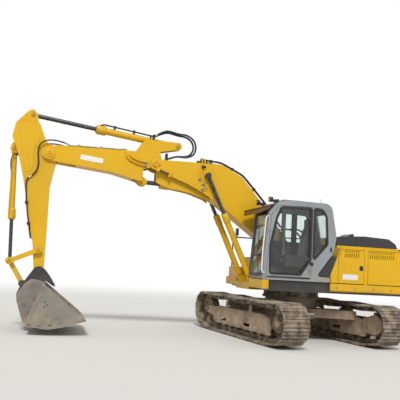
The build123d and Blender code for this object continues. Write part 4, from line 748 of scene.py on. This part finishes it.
def trackPins():
    # Even places along the closed loop through the link pins
    loop = trackLoop(trackLook["pinDepth"])
    closedLoop = np.vstack([loop, loop[:1]])
    run = np.concatenate([[0], np.linalg.norm(np.diff(closedLoop, axis=0), axis=1).cumsum()])
    places = np.linspace(0, run[-1], trackLook["shoes"], endpoint=False)
    return np.column_stack([np.interp(places, run, closedLoop[:, 0]), np.interp(places, run, closedLoop[:, 1])])


def underTurn(shells):
    # From the undercarriage's own direction to its heading: (x cos a - y sin a, x sin a + y cos a, z)
    angle = math.radians(trackLook["heading"])
    turn = ((math.cos(angle), math.sin(angle), 0), (-math.sin(angle), math.cos(angle), 0), (0, 0, 1))
    return [shell @ turn for shell in shells]


def dressTrack(name, middle):
    # Link plates and shoe bolts: pin + ahead * pitch * share + out * height, with out square to ahead
    look = trackLook
    pins = trackPins()
    pitch = np.roll(pins, -1, axis=0) - pins
    ahead = pitch / np.linalg.norm(pitch, axis=1)[:, None]
    out = np.column_stack([ahead[:, 1], -ahead[:, 0]])
    # One link's outline as shares of the pitch along it and metres across it: a waist between two round ends
    angles = np.linspace(-np.pi / 2, np.pi / 2, 5)
    half = np.column_stack([0.98 + 0.1 * np.cos(angles), 0.034 * np.sin(angles)])
    outline = np.vstack([half, [(0.5, 0.024)], np.column_stack([1 - half[:, 0], half[::-1, 1]]), [(0.5, -0.024)]])
    flat = pins[:, None] + outline[:, :1] * pitch[:, None] + outline[:, 1:] * out[:, None]
    links, caps, bolts = [], [], []
    for side in (-1, 1):
        face = middle + side * look["railFace"]
        links.append(np.stack([np.insert(flat, 1, face + side * offset, -1) for offset in (-0.002, 0.01)], 1))
        centres = np.insert(pins, 1, face, 1)
        caps.append(turned(((0.004, 0.024), (0.018, 0.024), (0.02, 0.018)), centres, (0, side, 0), 8))
    forward, outward = np.insert(ahead, 1, 0, 1)[:, None], np.insert(out, 1, 0, 1)[:, None]
    turns = circle(6, look["boltRadius"])
    ring = turns[:, :1] * forward + turns[:, 1:] * (0, 1, 0)
    for row in look["boltRows"]:
        for share in look["boltShares"]:
            centre = pins + pitch * share + out * (look["pinDepth"] - look["plateDepth"] - 0.001)
            base = np.insert(centre, 1, middle + row, 1)[:, None] + ring
            bolts.append(np.stack([base, base + look["boltHeight"] * outward], 1))
    makePiece(name + "_links", underTurn(links + caps), "undercarriage", gearSteel)
    makePiece(name + "_bolts", underTurn(bolts), "undercarriage", shoeSteel)


for name, side in sides:
    dressTrack(name + "_track", side * trackLook["gauge"] / 2)


# Undercarriage fastenings: bolts along the frames, the motor covers' rings and the idlers' caps

frameFastenings = {"halfWidth": 0.16, "rollers": 8, "span": 2.5, "spread": 0.035, "height": 0.245,
                   "motorRing": (0.16, 0.205, 16), "coverRing": (0.118, 0.245, 9), "idlerFace": 0.149,
                   "slewRadius": 0.655, "slewBolts": 40, "slewLevel": 0.9647}
boltHead = ((-0.002, 0.014), (0.01, 0.014), (0.013, 0.011))
look = frameFastenings
idlerCap = ((-0.004, 0.085), (0.012, 0.085), (0.018, 0.076), (0.02, 0.03), (0.028, 0.024), (0.03, 0.012))
motorDome = ((0.243, 0.07), (0.252, 0.066), (0.258, 0.04), (0.258, 0.02))
along = np.linspace(-look["span"] / 2, look["span"] / 2, look["rollers"])
along = np.concatenate([along - look["spread"], along + look["spread"]])
frameBolts, hubParts = [], []
for side in (1, -1):
    middle = side * trackLook["gauge"] / 2
    far, high = trackLook["tumblers"] / 2, trackLook["tumblerHeight"]
    for face in (1, -1):
        centres = [(x, middle + face * look["halfWidth"], look["height"]) for x in along]
        frameBolts.append(turned(boltHead, centres, (0, face, 0), 6))
        hubParts.append(turned(idlerCap, (far, middle + face * look["idlerFace"], high), (0, face, 0), 24))
    for ring, outside, count in (look["motorRing"], look["coverRing"]):
        centres = np.insert(circle(count, ring), 1, side * outside, 1) + (-far, middle, high)
        frameBolts.append(turned(boltHead, centres, (0, side, 0), 6))
    hubParts.append(turned(motorDome, (-far, middle, high), (0, side, 0), 24))
makePiece("undercarriage_bolts", underTurn(frameBolts), "undercarriage", boltSteel)
makePiece("hub_caps", underTurn(hubParts), "undercarriage", gearSteel)
slewBolts = np.insert(circle(look["slewBolts"], look["slewRadius"]), 2, look["slewLevel"], 1)
makePiece("slew_ring_bolts", [turned(((-0.001, 0.012), (0.012, 0.012), (0.014, 0.009)), slewBolts, (0, 0, 1), 6)],
          "undercarriage", boltSteel)
print("stage 8: tracks and undercarriage")


# Cab: black seals round every pane, wiper, hand rail, lamps, aerial and the dark cover behind

doorWindow = ((1.05, 1.49, 0.05), (1.062, 2.08, 0.4), (0.935, 2.68, 0.25), (0.84, 2.905, 0.07),
              (0.15, 2.922, 0.03), (0.15, 1.8, 0.03), (0.362, 1.492, 0.03))
quarterWindow = ((0.062, 2.928, 0.03), (-0.12, 2.912, 0.09), (-0.212, 2.77, 0.06), (-0.25, 2.17, 0.05),
                 (0.062, 1.82, 0.03))
rightWindow = ((1.05, 1.75, 0.04), (1.0, 2.7, 0.08), (0.86, 2.86, 0.06), (0.45, 2.88, 0.02),
               (0.45, 1.75, 0.04))
rightRearWindow = ((0.38, 1.9, 0.02), (0.38, 2.88, 0.02), (-0.12, 2.86, 0.08), (-0.3, 2.7, 0.06),
                   (-0.32, 1.9, 0.04))
windscreen = ((0.485, 0.0, 0.05), (1.225, 0.0, 0.05), (1.225, 1.338, 0.05), (0.485, 1.338, 0.05))
# The front face leans back 90 mm over 1280 mm
lean = np.array([-0.09, 0, 1.28]) / math.hypot(0.09, 1.28)
frontView = ((1.215 + 0.09 * 0.06 / 1.28, 0, 1.44), (0, 1, 0), lean, (lean[2], 0, -lean[0]))
windowSeals = (
    # name, body, view, how far it lies outside and inside the pane's edge, low and high along outward, outlines
    ("door_window_seal", "cab_door", leftSide, 0.034, 0.022, 1.341, 1.351, (doorWindow,)),
    ("quarter_window_seal", "upper_body", leftSide, 0.032, 0.022, 1.341, 1.351, (quarterWindow,)),
    ("right_window_seals", "upper_body", rightSide, 0.026, 0.018, -0.419, -0.4145, (rightWindow, rightRearWindow)),
    ("windscreen_seal", "upper_body", frontView, 0.03, 0.03, -0.004, 0.005, (windscreen,)),
)
for name, body, view, outside, inside, low, high, outlines in windowSeals:
    makePiece(name, [band(roundedLoop(corners), outside, inside, low, high, view) for corners in outlines], body,
              blackPlastic, closed=True)

bar = slab(rectangle(0.5, 1.212, 0.415, 0.447, 0.008), -0.02, 0.004, frontView)
wiperArm = tube(((1.25, 1.15, 1.47), (1.238, 1.06, 1.7), (1.216, 0.96, 2.1)), (0.012, 0.01, 0.007), 8)
wiperBlade = tube(((1.24, 1.05, 1.72), (1.214, 0.985, 2.08), (1.188, 0.92, 2.44)), 0.01, 8)
makePiece("windscreen_bar_and_wiper", [bar, wiperArm, wiperBlade], "upper_body", blackPlastic)
card = roundedLoop(((0.56, 1.108, 0.004), (1.1, 1.108, 0.004), (1.1, 1.325, 0.004), (0.56, 1.325, 0.004)), 3)
makePiece("blank_card_in_windscreen", [slab(card, -0.034, -0.031, frontView, 0.001)], "upper_body", plateEnamel)

# Hand rail up the front corner post
railRoute = ((1.17, 1.318, 1.48), (1.236, 1.35, 1.49), (1.25, 1.352, 1.56), (1.244, 1.352, 1.9),
             (1.196, 1.35, 2.6), (1.182, 1.346, 2.7), (1.1, 1.3, 2.716))
makePiece("cab_hand_rail", [tube(routeLine("cab_hand_rail", railRoute), 0.015, 10)], "upper_body", plateEnamel)

# Lock plate, a rubber strip at the door's foot, and the grab recess
makePiece("door_lock_plate", [slab(rectangle(0.062, 0.15, 1.69, 1.76, 0.012), 1.34, 1.352, leftSide)],
          "upper_body", blackPlastic)
makePiece("door_foot_strip", [slab(rectangle(0.14, 1.1, 1.402, 1.428, 0.008), 1.34, 1.353, leftSide)],
          "cab_door", blackPlastic)
recess = rectangle(-0.372, -0.318, 2.01, 2.11, 0.014)
makePiece("grab_recess_rim", [band(recess, 0.01, 0.006, 1.341, 1.352, leftSide)], "upper_body", greyPaint,
          closed=True)
makePiece("grab_recess", [slab(recess, 1.336, 1.347, leftSide)], "upper_body", blackPlastic)

# Aerial, lamp bezels with their lenses, and the cover behind the cab
aerial = tube(((-0.228, 1.0, 3.06), (-0.228, 1.0, 3.09), (-0.232, 1.0, 3.12), (-0.24, 1.0, 3.205)),
              (0.02, 0.016, 0.007, 0.004), 10)
makePiece("aerial", [aerial], "upper_body", blackPlastic)
lampCentres = ((1.115, 0.475, 3.068), (1.115, 1.285, 3.068))
bezel = ((-0.012, 0.05), (-0.012, 0.06), (0.006, 0.06), (0.008, 0.052), (0.002, 0.05))
lens = ((0.0, 0.049), (0.006, 0.047), (0.012, 0.036), (0.016, 0.018), (0.017, 0.006))
makePiece("lamp_bezels", [turned(bezel, lampCentres, (1, 0, 0), 28)], "upper_body", blackPlastic)
makePiece("lamp_lenses", [turned(lens, lampCentres, (1, 0, 0), 28)], "upper_body", mirrorSilver)
cover = roundedLoop(((-0.35, 1.455, 0.012), (-0.06, 1.472, 0.02), (-0.402, 1.925, 0.03), (-0.505, 1.925, 0.012)))
makePiece("cover_behind_cab", [slab(cover, 0.52, 1.325, leftSide, 0.006)], "upper_body", blackPaint)

# Visor: a curved lip under the outer edge of the sun visor, 110 mm deep at its front
visorLip = roundedLoop(((1.06, 2.93, 0.006), (1.392, 2.826, 0.01), (1.4, 2.758, 0.02), (1.33, 2.752, 0.04),
                        (1.09, 2.868, 0.03)))
lipView = ((1.388, 0, 2.735), (0, 1, 0), (-0.05, 0, 0.999), (0.999, 0, 0.05))
lips = [slab(visorLip, low, low + 0.012, leftSide) for low in (1.272, 0.436)]
lips.append(slab(rectangle(0.436, 1.284, 0, 0.13, 0.02), 0, 0.006, lipView))
makePiece("visor_lips", lips, "upper_body", lipAcrylic)
print("stage 9: cab outside")


# Cab inside: a sprung seat with three padded parts, consoles, levers and a monitor

seat = {"middle": 0.88, "corner": 0.42, "waist": 0.06, "channelDepth": 0.009, "channelWidth": 0.07, "steps": (41, 96)}
pads = (
    # name, centre, half sizes, lean, channels per metre, share of fill
    ("seat_cushion", (0.34, 0.88, 1.765), (0.262, 0.25, 0.068), 0, 8, 0.7),
    ("seat_back", (0.06, 0.88, 2.18), (0.066, 0.242, 0.37), -10, 8, 0.7),
    ("seat_head", (-0.016, 0.88, 2.62), (0.05, 0.14, 0.082), -10, 0, 0.8),
)


def paddedForm(centre, size, lean, channels):
    # Crowned pad: each axis is size * sgn(c) |c|^corner of the sphere's cos and sin, with the sides pulled in by
    # the waist between the corners and sewn channels where channels * the cross axis passes a whole number
    rings, around = seat["steps"]
    u = np.linspace(-np.pi / 2, np.pi / 2, rings)[1:-1][:, None]
    v = np.linspace(0, 2 * np.pi, around, endpoint=False)[None]
    soften = lambda value: np.sign(value) * np.abs(value) ** seat["corner"]
    x = soften(np.cos(u)) * soften(np.cos(v))
    y = soften(np.cos(u)) * soften(np.sin(v))
    z = soften(np.sin(u)) + 0 * v
    pulled = 1 - seat["waist"] * (1 - np.clip(np.abs(x * y), 0, 1))
    form = np.stack([x * pulled, y * pulled, z], -1) * size
    thin = int(np.argmin(size))
    cross = 1 if thin == 0 else 0
    seam = np.exp(-((np.mod(form[..., cross] * channels + 0.5, 1) - 0.5) / seat["channelWidth"]) ** 2)
    form[..., thin] -= np.sign(form[..., thin]) * seat["channelDepth"] * seam
    angle = math.radians(lean)
    turn = np.array([[math.cos(angle), 0, math.sin(angle)], [0, 1, 0], [-math.sin(angle), 0, math.cos(angle)]])
    return form @ turn.T + centre


for name, centre, size, lean, channels, fill in pads:
    pad = makePiece(name, [paddedForm(centre, size, lean, channels)], "upper_body", seatCloth, sharpFrom=180)
middle = seat["middle"]
solids = [(0.14 + inset, 0.5 - inset, level, level + 0.046, 0.014, middle - 0.18 + inset, middle + 0.18 - inset,
           0.01) for level, inset in zip(np.arange(1.392, 1.69, 0.048), (0, 0.014, 0, 0.014, 0, 0.014, 0))]
# Consoles, the beam between them and the post behind the seat: x, z, corner radius, y from, y to, chamfer
solids += [(0.15, 0.7, 1.65, 1.9, 0.03, 0.482, 0.608, 0.012),
           (0.15, 0.7, 1.65, 1.9, 0.03, 1.152, 1.258, 0.012),
           (0.15, 0.3, 1.55, 1.69, 0.02, 0.482, 1.258, 0.008),
           (0.045, 0.085, 1.83, 2.72, 0.012, middle - 0.06, middle + 0.06, 0.006)]
interior = makePiece("seat_base_and_consoles", [
    slab(rectangle(*edges), low, high, leftSide, chamfer) for *edges, low, high, chamfer in solids], "upper_body",
    blackPlastic)
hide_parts("seat_and_controls")
levers = [tube(((0.6, y, 1.895), (0.61, y, 1.95), (0.612, y, 2.0), (0.604, y, 2.06), (0.598, y, 2.11)),
               (0.03, 0.012, 0.016, 0.026, 0.018), 12) for y in (0.545, 1.205)]
for y in (middle - 0.09, middle + 0.09):
    levers.append(tube(((0.89, y, 1.39), (0.9, y, 1.6), (0.88, y, 1.78), (0.85, y, 1.9), (0.845, y, 1.95)),
                       (0.014, 0.012, 0.012, 0.02, 0.016), 10))
    levers.append(slab(rectangle(0.86, 0.99, 1.4, 1.42, 0.006), y - 0.05, y + 0.05, leftSide, 0.004))
levers.append(slab(rectangle(0.96, 1.0, 1.9, 2.08, 0.014), 0.5, 0.64, leftSide, 0.006))
levers.append(tube(((0.98, 0.545, 1.4), (0.98, 0.545, 1.65), (0.98, 0.56, 1.92)), 0.018, 10))
makePiece("levers_pedals_and_monitor", levers, "upper_body", blackPlastic)
trim = ((-0.32, 1.045, 1.7, 2.215), (0.095, 0.235, 2.18, 2.93), (-0.35, -0.135, 2.18, 2.93))
makePiece("right_wall_trim", [slab(rectangle(*edges, 0.03), 0.446, 0.456, leftSide) for edges in trim], "upper_body",
          blackPlastic)
print("stage 10: seat and controls")


# Housing, hood and right side: latches, blank plates, filler caps, steps and mirror glass

for body, view, x in (("left_front_door", leftSide, -1.09), ("left_rear_door", leftSide, -2.12),
                      ("right_door", rightSide, -2.12)):
    plate = slab(rectangle(x - 0.045, x + 0.045, 1.64, 1.74, 0.014), 1.341, 1.35, view)
    grip = slab(rectangle(x - 0.028, x + 0.028, 1.66, 1.716, 0.01), 1.345, 1.355, view)
    makePiece(body + "_latch", [plate, grip], body, blackPlastic)
for name, side in sides:
    plate = slab(rectangle(-0.25, 0.25, -0.055, 0.055, 0.012), -0.001, 0.004,
                 leaning(4.89, side * 0.215, 3.755, 6, side), 0.001)
    makePiece("boom_blank_plate_" + name, [plate], "front_boom", plateEnamel)
makePiece("door_blank_plate", [slab(rectangle(-1.01, -0.64, 1.425, 1.545, 0.012), 1.344, 1.349, leftSide, 0.001)],
          "left_front_door", plateEnamel)
capRows = ((-0.004, 0.06), (0.02, 0.06), (0.026, 0.054), (0.026, 0.03), (0.04, 0.026), (0.042, 0.018))
capPlaces = ((-0.05, -0.9, 2.06), (-0.76, -0.9, 2.12))
makePiece("filler_caps", [turned(capRows, capPlaces, (0, 0, 1), 28)], "upper_body", blackPlastic)

# Two steps on the right side, each with a rubber tread and studs 48 by 60 mm apart: x, length, z
steps = ((0.79, 0.32, 1.58), (0.37, 0.34, 1.84))
treads = [slab(rectangle(x, x + length, -1.275, -0.675, 0.01), 0, 0.005, ((0, 0, z), (1, 0, 0), (0, 1, 0), (0, 0, 1)),
               0.002) for x, length, z in steps]
studs = [(x + 0.04 + 0.048 * row, -1.215 + 0.06 * place, z + 0.004)
         for x, length, z in steps for row in range(6) for place in range(9)]
makePiece("step_treads", treads, "upper_body", blackPlastic)
makePiece("step_studs", [turned(((0, 0.014), (0.004, 0.012), (0.004, 0.007)), studs, (0, 0, 1), 8)], "upper_body",
          pipeZinc)
mirrorView = ((0.978, 0, 0), (0, 1, 0), (0, 0, 1), (-1, 0, 0))
makePiece("mirror_glass", [slab(rectangle(-1.338, -1.212, 2.396, 2.546, 0.014), 0, 0.003, mirrorView, 0.001)],
          "upper_body", mirrorSilver)
gripRoute = ((-2.14, -0.07, 2.212), (-2.196, -0.07, 2.232), (-2.204, 0.09, 2.234), (-2.196, 0.25, 2.232),
             (-2.14, 0.25, 2.212))
makePiece("hood_grip", [tube(routeLine("hood_grip", gripRoute), 0.009, 8)], "engine_hood", pipeZinc)
rim = ((0.002, 0.026), (0.006, 0.024), (0.006, 0.018), (0.001, 0.017))
makePiece("lifting_thread_rims", [turned(rim, (-2.5, y, 2.179), (0, 0, 1), 24) for y in (-0.6, 0.6)], "upper_body",
          boltSteel)
for name, side in sides:
    places = [(x, side * 1.345, 1.24) for x in (-0.5, -0.95, -1.4, -1.85, -2.2)]
    makePiece("skirt_bolts_" + name, [turned(boltHead, places, (0, side, 0), 6)], "upper_body", boltSteel)
print("stage 11: housing and right side")


# Bucket and hitch: bolts on the side plates and along the cutting edge, and the hitch's lock

plugRows = ((-0.003, 0.022), (0.006, 0.022), (0.008, 0.016))
plugPlaces = ((5.64, 0.669), (5.596, 0.611), (5.651, 0.57))
plugs = [turned(plugRows, [(x, side * 0.95, z) for x, z in plugPlaces], (0, side, 0), 6) for side in (1, -1)]
makePiece("bucket_side_bolts", plugs, "hitch_and_bucket", boltSteel)
edgePlaces = [(4.905, y, 0.297) for y in np.linspace(-0.86, 0.86, 15)]
makePiece("cutting_edge_bolts", [turned(((-0.002, 0.017), (0.006, 0.016), (0.008, 0.009)), edgePlaces,
                                        (0.3, 0, 0.95), 12)], "hitch_and_bucket", boltSteel)
lockView = ((6.07, 0, 0.845), (0.35, 0, -0.94), (0.94, 0, 0.35), (0, 1, 0))
lockBody = slab(rectangle(-0.06, 0.06, -0.035, 0.035, 0.012), -0.15, 0.15, lockView, 0.008)
lockRod = tube(((6.09, 0, 0.8), (6.098, 0, 0.72), (6.104, 0, 0.65)), 0.022, 12)
makePiece("hitch_lock", [lockBody], "hitch_and_bucket", blackPaint)
makePiece("hitch_lock_rod", [lockRod], "hitch_and_bucket", rodSteelPaintedShade)
print("stage 12: bucket and hitch")
